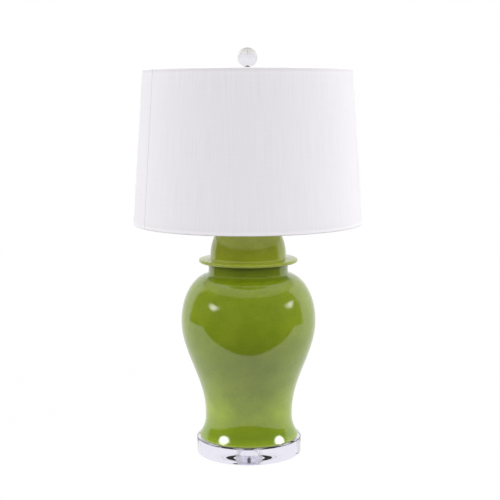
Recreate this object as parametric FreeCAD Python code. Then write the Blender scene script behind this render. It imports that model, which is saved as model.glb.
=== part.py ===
import FreeCAD, Part

import math
import os

# Ginger jar table lamp. Millimetres, +Z up, origin on the lamp's axis at the
# surface it stands on. -Y is the front. Each piece of the lamp is one STEP file.

V = FreeCAD.Vector
UP = V(0, 0, 1)
ORIGIN = V(0, 0, 0)

# --- fits --------------------------------------------------------------------
RUN_FIT = 0.08          # radial play of a part that turns or slides on a shaft
LOOSE_GAP = 0.3         # gap between moving parts that don't bear on each other
HOLE_PLAY = 0.65        # radial play of a through hole round the threaded pipe
THREAD_PLAY = 0.05      # radial play drawn between a thread and its nut
OVERCUT = 1.0           # how far a cutting shape runs past the face that it cuts
NEAR = 0.1              # how close counts as equal when an edge is picked

# --- acrylic base ------------------------------------------------------------
BASE_MARGIN = 5.9       # disc that shows round the jar's foot
BASE_THICKNESS = 31.5
BASE_EDGE_ROUND = 1.2
COUNTERBORE_PLAY = 2.7  # round the washer
COUNTERBORE_DEPTH = 24.5
BUMPER_RADIUS = 5.0
BUMPER_THICKNESS = 1.5
BUMPER_INSET = 14.0     # from the disc's edge to a bumper's middle
BUMPER_COUNT = 4
BUMPER_TURN = -16.0     # degrees that the first bumper stands off the front

# --- threaded pipe and its nuts ----------------------------------------------
PIPE_RADIUS = 4.85
PIPE_BORE_RADIUS = 3.2
PIPE_TAIL = 3.0         # pipe that stands out below the foot nut
PIPE_SLOT_HEIGHT = 25.0  # slot that lets the leads in, level with the cord inlet
NUT_ACROSS_FLATS = 14.3
NUT_HEIGHT = 4.6
WASHER_RADIUS = 15.8
WASHER_THICKNESS = 1.6

# --- jar ---------------------------------------------------------------------
PAD_THICKNESS = 1.0
PAD_WIDTH = 12.0
PAD_INSET = 1.0         # from the foot's bottom edge
FOOT_RADIUS = 100.4
FOOT_TUCK = 1.0         # how far the foot draws in under its widest ring
FOOT_EDGE_HEIGHT = 3.5  # foot's widest ring above its bottom
FOOT_RING_WIDTH = 15.0
FOOT_RECESS = 5.0
WAIST_RADIUS = 88.3
WAIST_HEIGHT = 44.0
BELLY_RADIUS = 135.8
BELLY_HEIGHT = 238.0
SHOULDER_RISE = 96.0
SHOULDER_TUCK = 4.0     # how far the shoulder's curve would run inside the neck
NECK_RADIUS = 79.9
NECK_HEIGHT = 23.5      # above the shoulder's full rise
JAR_WALL = 6.0
JAR_FLOOR = 9.0
FLOOR_CORNER = 2.0      # least straight wall above the floor
RIM_ROUND = 1.5
FLARE_POWER = 2.4       # how sharply the foot flares out of the waist
RISE_POWER = 1.08       # skews the rise from waist to belly towards the belly

# --- cord inlet at the back of the jar ---------------------------------------
INLET_HEIGHT = 24.0     # above the jar's foot
INLET_BORE_RADIUS = 3.6
BUSHING_RADIUS = 5.5
BUSHING_FLANGE_RADIUS = 8.0
BUSHING_FLANGE_THICKNESS = 2.0
BUSHING_TAIL = 2.5      # bushing that stands inside the jar

# --- lid ---------------------------------------------------------------------
SEAL_THICKNESS = 0.8
SEAL_INSET = 0.5        # from the neck's inner face
FLANGE_OVERHANG = 19.5  # beyond the neck
FLANGE_RIM_THICKNESS = 5.6
FLANGE_RISE = 2.2       # how much the flange's top rises towards the dome
DOME_INSET = 3.3        # the dome's foot, inside the neck's outer face
DOME_HEIGHT = 96.6      # full semi-height of the dome's curve
DOME_WALL = 6.0
LID_FLAT_RADIUS = 26.0
SKIRT_DEPTH = 12.0
SKIRT_WALL = 4.5
SKIRT_PLAY = 1.4

# --- vase cap, saddle and harp -----------------------------------------------
CAP_RADIUS = 22.0
CAP_CROWN_RADIUS = 16.0
CAP_HEIGHT = 5.0
CAP_WALL = 1.2
SADDLE_THICKNESS = 1.6
SADDLE_WIDTH = 12.0
HARP_LEG_OFFSET = 28.0
HARP_WIRE_RADIUS = 1.9
HARP_HEIGHT = 254.0
HARP_HALF_WIDTH = 56.0
HARP_STRAIGHT = 56.0    # straight foot of each leg
HARP_SWELL_ANGLE = 35.0
HARP_CROWN_FLAT = 6.0   # half of the straight piece in the crown's middle
POST_WALL = 1.0
POST_HEIGHT = 18.0
POST_SLOT = 3.0
FERRULE_WALL = 0.8
FERRULE_NECK = 3.7
FERRULE_LIFT_OFF = 2.0  # gap between ferrule and saddle strip
BOSS_RADIUS = 7.0
BOSS_OVER = 0.4         # boss above and below the wire
RIVET_RADIUS = 2.5
RIVET_HEAD_RADIUS = 4.4
RIVET_HEAD_THICKNESS = 1.5
STUD_RADIUS = 3.1
STUD_LENGTH = 12.5
STUD_FLANGE_RADIUS = 6.5
STUD_FLANGE_THICKNESS = 1.8

# --- lamp holder -------------------------------------------------------------
COLLAR_RADIUS = 8.0
COLLAR_HEIGHT = 5.0
SOCKET_CAP_HEIGHT = 16.0
SOCKET_METAL = 0.6
SHELL_TOP = 60.0        # shell's top above the saddle
SHELL_OVERLAP = 3.5     # shell inside the cap's rim
SHELL_PLAY = 0.6        # between shell and cap
LINER_WALL = 0.6
LINER_ROOM = 1.85       # between the liner and the screw shell inside it
LINER_STANDS_OUT = 1.5
BLOCK_HEIGHT = 22.0
BLOCK_START = 17.0      # block's underside above the saddle
SCREW_SHELL_PLAY = 0.4  # round the bulb's base
SCREW_SHELL_WALL = 0.4
SCREW_SHELL_HEIGHT = 19.0
CONTACT_WIDTH = 6.0
CONTACT_RISE = 2.4
CONTACT_THICKNESS = 0.5
TERMINAL_RADIUS = 3.4
TERMINAL_HEAD = 2.0
TERMINAL_SHANK_RADIUS = 1.7
TERMINAL_SHANK_LENGTH = 4.0
TERMINAL_RECESS = 1.0   # head below the block's face
TERMINAL_PLAY = 0.5     # round the head
SET_SCREW_RADIUS = 1.5
SET_SCREW_HEAD_RADIUS = 2.6
SET_SCREW_HEAD = 1.8
SET_SCREW_SLOT = 0.6

# --- turn switch -------------------------------------------------------------
SWITCH_HEIGHT = 27.0    # shaft's axis above the saddle
SHAFT_RADIUS = 1.6
SHAFT_DEPTH = 8.0       # shaft inside the block
SHAFT_IN_KNOB = 14.0
SWITCH_BUSHING_RADIUS = 4.2
SWITCH_BUSHING_OUT = 2.6
KNOB_RADIUS = 6.2
KNOB_LENGTH = 16.0
KNOB_FLUTES = 12
KNOB_FLUTE_RADIUS = 0.9
KNOB_FLUTE_OUT = 0.2    # flute's middle, outside the knob's face
KNOB_EDGE_ROUND = 1.5

# --- bulb --------------------------------------------------------------------
BULB_RADIUS = 30.0
BULB_LENGTH = 110.0
BULB_BASE_RADIUS = 13.1
BULB_BASE_HEIGHT = 20.0
BULB_BASE_WALL = 0.4
BULB_GLASS = 0.8
BULB_GLASS_TUCK = 6.7   # glass inside the base's shell
BULB_CEMENT = 0.1       # between the glass and the base's shell
BULB_TIP_RADIUS = 4.5
BULB_TIP_HEIGHT = 1.6
BULB_INSULATOR_HEIGHT = 3.0
INSULATOR_BORE_RADIUS = 2.25
BULB_NECK_HEIGHT = 8.0  # straight glass neck above the base
BULB_SWELL_ANGLE = 48.0  # degrees below the ball's middle where the neck's curve joins it
BULB_SWELL_PULL = 0.22  # how far the curve's middle stands off the neck, as a share of its swell
FILAMENT_RADIUS = 0.35
FILAMENT_SPAN = 9.0
FILAMENT_ROOT = 1.75    # from the stem's middle
FILAMENT_BOW = 3.0
STEM_RADIUS = 3.5
STEM_HEIGHT = 34.0
STEM_FLARE_HEIGHT = 11.3

# --- shade -------------------------------------------------------------------
SHADE_TOP_RADIUS = 206.0
SHADE_BOTTOM_RADIUS = 228.6
SHADE_HEIGHT = 302.2
SPIDER_DROP = 12.0      # from the shade's top edge down to the hub's top
FABRIC_THICKNESS = 0.5
PANEL_THICKNESS = 0.8
RING_WIRE_RADIUS = 1.3
RING_PLAY = 0.05
HEM_DEPTH = 9.0
ARM_WIRE_RADIUS = 1.6
ARM_COUNT = 3
ARM_TURN = 90.0         # first arm points to the back
ARM_BEND_RADIUS = 12.0
ARM_RISE_RUN = 16.0     # how far inside the ring the arm starts to rise
HUB_RADIUS = 12.0
HUB_THICKNESS = 3.2

# --- finial ------------------------------------------------------------------
BALL_RADIUS = 19.5
BALL_SEAT_RADIUS = 7.0
BALL_SEAT_RIM = 2.0
FINIAL_NECK_RADIUS = 5.6
FINIAL_FOOT_RADIUS = 8.0
FINIAL_FOOT_HEIGHT = 3.0
FINIAL_BASE_HEIGHT = 17.9
THREAD_RUNOUT = 1.7     # bore left beyond the stud's end
PEG_RADIUS = 2.4
PEG_LENGTH = 6.0

# --- sizes and heights that follow from those above --------------------------
FOOT_BOTTOM_RADIUS = FOOT_RADIUS - FOOT_TUCK
BASE_RADIUS = FOOT_RADIUS + BASE_MARGIN
COUNTERBORE_RADIUS = WASHER_RADIUS + COUNTERBORE_PLAY
FLANGE_RADIUS = NECK_RADIUS + FLANGE_OVERHANG
DOME_RADIUS = NECK_RADIUS - DOME_INSET
HARP_CROWN_RADIUS = HARP_HALF_WIDTH - HARP_CROWN_FLAT
BOSS_HEIGHT = 2 * (HARP_WIRE_RADIUS + BOSS_OVER)
SCREW_SHELL_RADIUS = BULB_BASE_RADIUS + SCREW_SHELL_PLAY + SCREW_SHELL_WALL
SHELL_RADIUS = SCREW_SHELL_RADIUS + LINER_ROOM + LINER_WALL + THREAD_PLAY + SOCKET_METAL
SOCKET_CAP_RADIUS = SHELL_RADIUS + SHELL_PLAY + SOCKET_METAL
BULB_NECK_RADIUS = BULB_BASE_RADIUS - BULB_BASE_WALL - BULB_CEMENT

BASE_BOTTOM = BUMPER_THICKNESS
BASE_TOP = BASE_BOTTOM + BASE_THICKNESS
LEDGE = BASE_BOTTOM + COUNTERBORE_DEPTH
JAR_BOTTOM = BASE_TOP + PAD_THICKNESS
FLOOR_TOP = JAR_BOTTOM + FOOT_RECESS + JAR_FLOOR
SHOULDER_TOP = JAR_BOTTOM + BELLY_HEIGHT + SHOULDER_RISE
JAR_RIM = SHOULDER_TOP + NECK_HEIGHT
LID_BOTTOM = JAR_RIM + SEAL_THICKNESS
DOME_FOOT = LID_BOTTOM + FLANGE_RIM_THICKNESS + FLANGE_RISE
LID_TOP = DOME_FOOT + DOME_HEIGHT * math.sqrt(1 - (LID_FLAT_RADIUS / DOME_RADIUS) ** 2)
CAP_TOP = LID_TOP + CAP_HEIGHT
SADDLE_BOTTOM = CAP_TOP + NUT_HEIGHT
SADDLE_TOP = SADDLE_BOTTOM + SADDLE_THICKNESS
POST_TOP = SADDLE_TOP + POST_HEIGHT
HARP_TOP = SADDLE_TOP + HARP_HEIGHT
STUD_SEAT = HARP_TOP + STUD_FLANGE_THICKNESS
HUB_TOP = STUD_SEAT + HUB_THICKNESS
SHADE_TOP = HUB_TOP + SPIDER_DROP
SHADE_BOTTOM = SHADE_TOP - SHADE_HEIGHT
BALL_SEAT = HUB_TOP + FINIAL_BASE_HEIGHT
BALL_MIDDLE = BALL_SEAT + math.sqrt(BALL_RADIUS ** 2 - BALL_SEAT_RADIUS ** 2)

SOCKET_FLOOR = SADDLE_TOP
BLOCK_BOTTOM = SOCKET_FLOOR + BLOCK_START
BLOCK_TOP = BLOCK_BOTTOM + BLOCK_HEIGHT
SWITCH_AXIS = SOCKET_FLOOR + SWITCH_HEIGHT
BULB_TIP = BLOCK_TOP + CONTACT_RISE + LOOSE_GAP
BULB_BASE_BOTTOM = BULB_TIP + BULB_INSULATOR_HEIGHT
BULB_BASE_TOP = BULB_BASE_BOTTOM + BULB_BASE_HEIGHT
BULB_GLASS_FOOT = BULB_BASE_TOP - BULB_GLASS_TUCK
BULB_MIDDLE = BULB_TIP + BULB_LENGTH - BULB_RADIUS


# --- helpers -----------------------------------------------------------------
def at(radius, height):
    """A point of a turned outline: distance from the axis, height."""
    return V(radius, 0, height)


def line(start, end):
    return Part.LineSegment(start, end).toShape()


def arc(start, middle, end):
    return Part.Arc(start, middle, end).toShape()


def curve(points):
    spline = Part.BSplineCurve()
    spline.interpolate(points)
    return spline.toShape()


def path_of(corners):
    """Straight edges through a list of points."""
    return [line(corners[i], corners[i + 1]) for i in range(len(corners) - 1)]


def lathe(edges):
    """The solid that a closed outline beside the Z axis sweeps out."""
    face = Part.Face(Part.Wire(edges))
    return face.revolve(ORIGIN, UP, 360)


def turned(*corners):
    """A lathe solid from (radius, height) corners."""
    points = [at(radius, height) for radius, height in corners]
    return lathe(path_of(points + points[:1]))


def disc(radius, bottom, top, middle=ORIGIN):
    return Part.makeCylinder(radius, top - bottom, V(middle.x, middle.y, bottom), UP)


def ring(outer, inner, bottom, top):
    return disc(outer, bottom, top).cut(disc(inner, bottom - OVERCUT, top + OVERCUT))


def rod_along(start, end, radius):
    run = end.sub(start)
    return Part.makeCylinder(radius, run.Length, start, run)


def hex_nut(bore_radius, bottom):
    corner_radius = NUT_ACROSS_FLATS / 2 / math.cos(math.radians(30))
    first = V(corner_radius, 0, bottom)
    turns = [FreeCAD.Rotation(UP, 60 * k + 30) for k in range(7)]
    corners = [turn.multVec(first) for turn in turns]
    block = Part.Face(Part.makePolygon(corners)).extrude(V(0, 0, NUT_HEIGHT))
    return block.cut(disc(bore_radius, bottom - OVERCUT, bottom + NUT_HEIGHT + OVERCUT))


def spun(shape, degrees, middle=ORIGIN, axis=UP):
    """A copy of a shape, turned about an axis."""
    copy = shape.copy()
    copy.rotate(middle, axis, degrees)
    return copy


def swept(edges, radius):
    """A round wire along a path that starts along the direction of its first edge."""
    path = Part.Wire(edges)
    first = edges[0]
    start = first.valueAt(first.FirstParameter)
    heading = first.tangentAt(first.FirstParameter)
    section = Part.Wire(Part.makeCircle(radius, start, heading))
    return path.makePipeShell([section], True, True)


# --- acrylic base ------------------------------------------------------------
def acrylic_base():
    body = disc(BASE_RADIUS, BASE_BOTTOM, BASE_TOP)
    rims = [e for e in body.Edges if abs(e.BoundBox.XLength - 2 * BASE_RADIUS) < NEAR]
    body = body.makeFillet(BASE_EDGE_ROUND, rims)
    body = body.cut(disc(PIPE_RADIUS + HOLE_PLAY, BASE_BOTTOM, BASE_TOP + OVERCUT))
    return body.cut(disc(COUNTERBORE_RADIUS, BASE_BOTTOM - OVERCUT, LEDGE))


def base_bumpers():
    dots = []
    for k in range(BUMPER_COUNT):
        angle = math.radians(-90 + BUMPER_TURN + 360 * k / BUMPER_COUNT)
        reach = BASE_RADIUS - BUMPER_INSET
        middle = V(reach * math.cos(angle), reach * math.sin(angle), 0)
        dots.append(disc(BUMPER_RADIUS, 0, BUMPER_THICKNESS, middle))
    return Part.makeCompound(dots)


def foot_washer():
    return ring(WASHER_RADIUS, PIPE_RADIUS + HOLE_PLAY, LEDGE - WASHER_THICKNESS, LEDGE)


def foot_nut():
    return hex_nut(PIPE_RADIUS + THREAD_PLAY, LEDGE - WASHER_THICKNESS - NUT_HEIGHT)


def lamp_pipe():
    bottom = LEDGE - WASHER_THICKNESS - NUT_HEIGHT - PIPE_TAIL
    pipe = ring(PIPE_RADIUS, PIPE_BORE_RADIUS, bottom, SOCKET_FLOOR + COLLAR_HEIGHT)
    slot_corner = V(-PIPE_BORE_RADIUS, 0, JAR_BOTTOM + INLET_HEIGHT)
    slot = Part.makeBox(2 * PIPE_BORE_RADIUS, PIPE_RADIUS + OVERCUT, PIPE_SLOT_HEIGHT, slot_corner)
    return pipe.cut(slot)


# --- jar ---------------------------------------------------------------------
def foot_pad():
    outer = FOOT_BOTTOM_RADIUS - PAD_INSET
    return ring(outer, outer - PAD_WIDTH, BASE_TOP, JAR_BOTTOM)


def flare_points(inset, count=6):
    """From the foot's widest ring in to the waist."""
    points = []
    for k in range(count):
        share = k / count
        height = FOOT_EDGE_HEIGHT + (WAIST_HEIGHT - FOOT_EDGE_HEIGHT) * share
        radius = WAIST_RADIUS + (FOOT_RADIUS - WAIST_RADIUS) * (1 - share) ** FLARE_POWER
        points.append(at(radius - inset, JAR_BOTTOM + height))
    return points


def rise_points(inset, count=8):
    """From the waist out to the belly, as half a wave."""
    points = []
    for k in range(count):
        share = k / count
        height = WAIST_HEIGHT + (BELLY_HEIGHT - WAIST_HEIGHT) * share
        swell = (1 - math.cos(math.pi * share ** RISE_POWER)) / 2
        radius = WAIST_RADIUS + (BELLY_RADIUS - WAIST_RADIUS) * swell
        points.append(at(radius - inset, JAR_BOTTOM + height))
    return points


def shoulder_points(inset, count=9):
    """From the belly over the shoulder to the neck, as a quarter of an ellipse."""
    middle_radius = NECK_RADIUS - SHOULDER_TUCK
    half_width = BELLY_RADIUS - middle_radius - inset
    half_height = SHOULDER_RISE - inset
    last_angle = math.acos((SHOULDER_TUCK - inset) / half_width)
    points = []
    for k in range(count + 1):
        angle = last_angle * k / count
        radius = middle_radius + half_width * math.cos(angle)
        points.append(at(radius, JAR_BOTTOM + BELLY_HEIGHT + half_height * math.sin(angle)))
    return points


def jar_outer():
    side = curve(flare_points(0) + rise_points(0) + shoulder_points(0))
    foot_edge = flare_points(0)[0]
    neck_foot = shoulder_points(0)[-1]
    corner_cut = RIM_ROUND * (1 - math.sqrt(0.5))
    rim_start = at(NECK_RADIUS, JAR_RIM - RIM_ROUND)
    rim_mid = at(NECK_RADIUS - corner_cut, JAR_RIM - corner_cut)
    rim_end = at(NECK_RADIUS - RIM_ROUND, JAR_RIM)
    edges = [
        line(at(0, JAR_BOTTOM), at(FOOT_BOTTOM_RADIUS, JAR_BOTTOM)),
        line(at(FOOT_BOTTOM_RADIUS, JAR_BOTTOM), foot_edge),
        side,
        line(neck_foot, rim_start),
        arc(rim_start, rim_mid, rim_end),
        line(rim_end, at(0, JAR_RIM)),
        line(at(0, JAR_RIM), at(0, JAR_BOTTOM)),
    ]
    return lathe(edges)


def jar_hollow():
    wall = [p for p in flare_points(JAR_WALL) if p.z > FLOOR_TOP + FLOOR_CORNER]
    wall = wall + rise_points(JAR_WALL) + shoulder_points(JAR_WALL)
    top = JAR_RIM + OVERCUT
    floor_edge = at(wall[0].x, FLOOR_TOP)
    neck_top = at(wall[-1].x, top)
    edges = [
        line(at(0, FLOOR_TOP), floor_edge),
        line(floor_edge, wall[0]),
        curve(wall),
        line(wall[-1], neck_top),
        line(neck_top, at(0, top)),
        line(at(0, top), at(0, FLOOR_TOP)),
    ]
    return lathe(edges)


def inlet_wall():
    """Outer radius of the jar at the height of the cord inlet."""
    share = (INLET_HEIGHT - FOOT_EDGE_HEIGHT) / (WAIST_HEIGHT - FOOT_EDGE_HEIGHT)
    return WAIST_RADIUS + (FOOT_RADIUS - WAIST_RADIUS) * (1 - share) ** FLARE_POWER


def inlet_rod(radius, start, end):
    """A round bar along the inlet's axis, from one distance to another."""
    height = JAR_BOTTOM + INLET_HEIGHT
    return rod_along(V(0, start, height), V(0, end, height), radius)


def jar_body():
    recess = disc(FOOT_RADIUS - FOOT_RING_WIDTH, JAR_BOTTOM - OVERCUT, JAR_BOTTOM + FOOT_RECESS)
    pipe_hole = disc(PIPE_RADIUS + HOLE_PLAY, JAR_BOTTOM, FLOOR_TOP + OVERCUT)
    inlet = inlet_rod(BUSHING_RADIUS, inlet_wall() - 2 * JAR_WALL, inlet_wall() + 2 * JAR_WALL)
    return jar_outer().cut(jar_hollow()).cut(recess).cut(pipe_hole).cut(inlet)


def cord_bushing():
    wall = inlet_wall()
    inner_end = wall - JAR_WALL - BUSHING_TAIL
    outer_end = wall + BUSHING_FLANGE_THICKNESS
    barrel = inlet_rod(BUSHING_RADIUS - THREAD_PLAY, inner_end, outer_end)
    flange = inlet_rod(BUSHING_FLANGE_RADIUS, wall, outer_end).cut(jar_outer())
    bore = inlet_rod(INLET_BORE_RADIUS, inner_end - OVERCUT, outer_end + OVERCUT)
    return barrel.fuse(flange).cut(bore)


# --- lid ---------------------------------------------------------------------
def lid_seal():
    inner = NECK_RADIUS - JAR_WALL + SEAL_INSET
    return ring(NECK_RADIUS - RIM_ROUND, inner, JAR_RIM, LID_BOTTOM)


def dome_points(half_width, half_height, stop_radius, count=10):
    last_angle = math.acos(stop_radius / half_width)
    points = []
    for k in range(count + 1):
        angle = last_angle * k / count
        points.append(at(half_width * math.cos(angle), DOME_FOOT + half_height * math.sin(angle)))
    return points


def jar_lid():
    skirt_outer = NECK_RADIUS - JAR_WALL - SKIRT_PLAY
    skirt_inner = skirt_outer - SKIRT_WALL
    half_rim = FLANGE_RIM_THICKNESS / 2
    rim_low = at(FLANGE_RADIUS - half_rim, LID_BOTTOM)
    rim_mid = at(FLANGE_RADIUS, LID_BOTTOM + half_rim)
    rim_high = at(FLANGE_RADIUS - half_rim, LID_BOTTOM + FLANGE_RIM_THICKNESS)
    outer = dome_points(DOME_RADIUS, DOME_HEIGHT, LID_FLAT_RADIUS)
    inner = dome_points(skirt_inner, DOME_HEIGHT - DOME_WALL, LID_FLAT_RADIUS)
    hole = PIPE_RADIUS + HOLE_PLAY
    skirt_bottom = LID_BOTTOM - SKIRT_DEPTH
    edges = [
        line(at(skirt_inner, skirt_bottom), at(skirt_outer, skirt_bottom)),
        line(at(skirt_outer, skirt_bottom), at(skirt_outer, LID_BOTTOM)),
        line(at(skirt_outer, LID_BOTTOM), rim_low),
        arc(rim_low, rim_mid, rim_high),
        line(rim_high, outer[0]),
        curve(outer),
        line(outer[-1], at(hole, LID_TOP)),
        line(at(hole, LID_TOP), at(hole, inner[-1].z)),
        line(at(hole, inner[-1].z), inner[-1]),
        curve(inner[::-1]),
        line(inner[0], at(skirt_inner, skirt_bottom)),
    ]
    return lathe(edges)


def vase_cap():
    hole = PIPE_RADIUS + HOLE_PLAY
    return turned(
        (CAP_RADIUS, LID_TOP),
        (CAP_RADIUS, LID_TOP + CAP_WALL),
        (CAP_CROWN_RADIUS, CAP_TOP),
        (hole, CAP_TOP),
        (hole, CAP_TOP - CAP_WALL),
        (CAP_CROWN_RADIUS - CAP_WALL, CAP_TOP - CAP_WALL),
        (CAP_RADIUS - 2 * CAP_WALL, LID_TOP),
    )


def cap_nut():
    return hex_nut(PIPE_RADIUS + THREAD_PLAY, CAP_TOP)


# --- harp --------------------------------------------------------------------
def channel_radius():
    """Inner radius of a saddle post, round the harp's leg."""
    return HARP_WIRE_RADIUS + LOOSE_GAP


def saddle_post(side):
    """A tube for one leg of the harp, slotted on the side that faces the lamp's axis."""
    outer = disc(channel_radius() + POST_WALL, SADDLE_BOTTOM, POST_TOP)
    bore = disc(channel_radius(), SADDLE_TOP, POST_TOP + OVERCUT)
    reach = channel_radius() + POST_WALL + OVERCUT
    slot_corner = V(0, -POST_SLOT / 2, SADDLE_TOP)
    slot = Part.makeBox(reach, POST_SLOT, POST_HEIGHT + OVERCUT, slot_corner)
    post = outer.cut(bore).cut(slot)
    if side > 0:
        post = spun(post, 180)
    post.translate(V(side * HARP_LEG_OFFSET, 0, 0))
    return post


def harp_saddle():
    half = HARP_LEG_OFFSET
    corner = V(-half, -SADDLE_WIDTH / 2, SADDLE_BOTTOM)
    strip = Part.makeBox(2 * half, SADDLE_WIDTH, SADDLE_THICKNESS, corner)
    for side in (-1, 1):
        end = disc(SADDLE_WIDTH / 2, SADDLE_BOTTOM, SADDLE_TOP, V(side * half, 0, 0))
        strip = strip.fuse(end).fuse(saddle_post(side))
    hole = disc(PIPE_RADIUS + THREAD_PLAY, SADDLE_BOTTOM - OVERCUT, SADDLE_TOP + OVERCUT)
    return strip.cut(hole).removeSplitter()


def harp_half(side):
    """Centre line of one half of the harp, from its foot to the middle of the crown."""
    def spot(x, z):
        return V(side * x, 0, z)

    wire_top = HARP_TOP - BOSS_HEIGHT / 2
    swell = HARP_HALF_WIDTH - HARP_LEG_OFFSET
    angle = math.radians(HARP_SWELL_ANGLE)
    radius = swell / 2 / (1 - math.cos(angle))
    step = radius * math.sin(angle)
    knee = SADDLE_TOP + HARP_STRAIGHT
    half_x = radius * (1 - math.cos(angle / 2))
    half_z = radius * math.sin(angle / 2)
    quarter = HARP_CROWN_RADIUS * math.sqrt(0.5)
    crown_x = HARP_HALF_WIDTH - HARP_CROWN_RADIUS
    crown_z = wire_top - HARP_CROWN_RADIUS
    foot = spot(HARP_LEG_OFFSET, SADDLE_TOP + LOOSE_GAP)
    bend_start = spot(HARP_LEG_OFFSET, knee)
    bend_middle = spot(HARP_LEG_OFFSET + swell / 2, knee + step)
    bend_end = spot(HARP_HALF_WIDTH, knee + 2 * step)
    crown_start = spot(HARP_HALF_WIDTH, crown_z)
    crown_end = spot(crown_x, wire_top)
    return [
        line(foot, bend_start),
        arc(bend_start, spot(HARP_LEG_OFFSET + half_x, knee + half_z), bend_middle),
        arc(bend_middle, spot(HARP_HALF_WIDTH - half_x, knee + 2 * step - half_z), bend_end),
        line(bend_end, crown_start),
        arc(crown_start, spot(crown_x + quarter, crown_z + quarter), crown_end),
        line(crown_end, spot(0, wire_top)),
    ]


def harp():
    halves = [swept(harp_half(side), HARP_WIRE_RADIUS) for side in (-1, 1)]
    boss = disc(BOSS_RADIUS, HARP_TOP - BOSS_HEIGHT, HARP_TOP)
    bore = disc(RIVET_RADIUS + RUN_FIT, HARP_TOP - BOSS_HEIGHT - OVERCUT, HARP_TOP + OVERCUT)
    return boss.fuse(halves).cut(bore).removeSplitter()


def harp_ferrule(side):
    middle = V(side * HARP_LEG_OFFSET, 0, 0)
    bore = channel_radius() + POST_WALL + RUN_FIT
    bottom = SADDLE_TOP + FERRULE_LIFT_OFF
    step = POST_TOP + LOOSE_GAP
    top = step + FERRULE_NECK
    sleeve = disc(bore + FERRULE_WALL, bottom, top, middle)
    sleeve = sleeve.cut(disc(bore, bottom - OVERCUT, step, middle))
    return sleeve.cut(disc(HARP_WIRE_RADIUS + RUN_FIT, bottom, top + OVERCUT, middle))


def harp_stud():
    underside = HARP_TOP - BOSS_HEIGHT
    shank = disc(RIVET_RADIUS, underside - RIVET_HEAD_THICKNESS, HARP_TOP)
    head = disc(RIVET_HEAD_RADIUS, underside - RIVET_HEAD_THICKNESS, underside)
    flange = disc(STUD_FLANGE_RADIUS, HARP_TOP, STUD_SEAT)
    stud = disc(STUD_RADIUS, STUD_SEAT, STUD_SEAT + STUD_LENGTH)
    return shank.fuse([head, flange, stud]).removeSplitter()


# --- lamp holder -------------------------------------------------------------
def socket_cap():
    bore = PIPE_RADIUS + THREAD_PLAY
    floor = SOCKET_FLOOR
    top = floor + SOCKET_CAP_HEIGHT
    inner = SOCKET_CAP_RADIUS - SOCKET_METAL
    body = turned(
        (bore, floor),
        (COLLAR_RADIUS, floor),
        (COLLAR_RADIUS, floor + COLLAR_HEIGHT),
        (SOCKET_CAP_RADIUS, floor + 2 * COLLAR_HEIGHT),
        (SOCKET_CAP_RADIUS, top),
        (inner, top),
        (inner, floor + 2 * COLLAR_HEIGHT + SOCKET_METAL),
        (COLLAR_RADIUS - SOCKET_METAL, floor + COLLAR_HEIGHT + SOCKET_METAL),
        (bore, floor + COLLAR_HEIGHT + SOCKET_METAL),
    )
    screw_hole = set_screw_bar(SET_SCREW_RADIUS + THREAD_PLAY, PIPE_RADIUS, COLLAR_RADIUS + OVERCUT)
    return body.cut(screw_hole)


def set_screw_height():
    return SOCKET_FLOOR + COLLAR_HEIGHT / 2


def set_screw_bar(radius, start, end):
    height = set_screw_height()
    return rod_along(V(0, start, height), V(0, end, height), radius)


def socket_set_screw():
    shank = set_screw_bar(SET_SCREW_RADIUS, PIPE_RADIUS + THREAD_PLAY, COLLAR_RADIUS)
    head = set_screw_bar(SET_SCREW_HEAD_RADIUS, COLLAR_RADIUS, COLLAR_RADIUS + SET_SCREW_HEAD)
    slot_floor = COLLAR_RADIUS + SET_SCREW_HEAD / 2
    slot_corner = V(-SET_SCREW_HEAD_RADIUS, slot_floor, set_screw_height() - SET_SCREW_SLOT / 2)
    slot = Part.makeBox(2 * SET_SCREW_HEAD_RADIUS, SET_SCREW_HEAD, SET_SCREW_SLOT, slot_corner)
    return shank.fuse(head).cut(slot).removeSplitter()


def switch_bar(radius, start, end):
    """A round bar along the switch's axis, at distances in front of the lamp's axis."""
    return rod_along(V(0, -start, SWITCH_AXIS), V(0, -end, SWITCH_AXIS), radius)


def socket_shell():
    bottom = SOCKET_FLOOR + SOCKET_CAP_HEIGHT - SHELL_OVERLAP
    top = SOCKET_FLOOR + SHELL_TOP
    tube = ring(SHELL_RADIUS, SHELL_RADIUS - SOCKET_METAL, bottom, top)
    return tube.cut(switch_bar(SWITCH_BUSHING_RADIUS, 0, SHELL_RADIUS + OVERCUT))


def liner_radius():
    return SHELL_RADIUS - SOCKET_METAL - THREAD_PLAY


def socket_liner():
    bottom = SOCKET_FLOOR + SOCKET_CAP_HEIGHT - SHELL_OVERLAP
    top = SOCKET_FLOOR + SHELL_TOP + LINER_STANDS_OUT
    tube = ring(liner_radius(), liner_radius() - LINER_WALL, bottom, top)
    return tube.cut(switch_bar(SWITCH_BUSHING_RADIUS, 0, SHELL_RADIUS + OVERCUT))


def block_radius():
    return liner_radius() - LINER_WALL - THREAD_PLAY


def terminal_height():
    return BLOCK_TOP - BLOCK_HEIGHT / 4


def terminal_bar(side, radius, start, end):
    height = terminal_height()
    return rod_along(V(side * start, 0, height), V(side * end, 0, height), radius)


def terminal_seat():
    """Distance from the lamp's axis to the underside of a terminal screw's head."""
    return block_radius() - TERMINAL_RECESS - TERMINAL_HEAD


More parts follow.
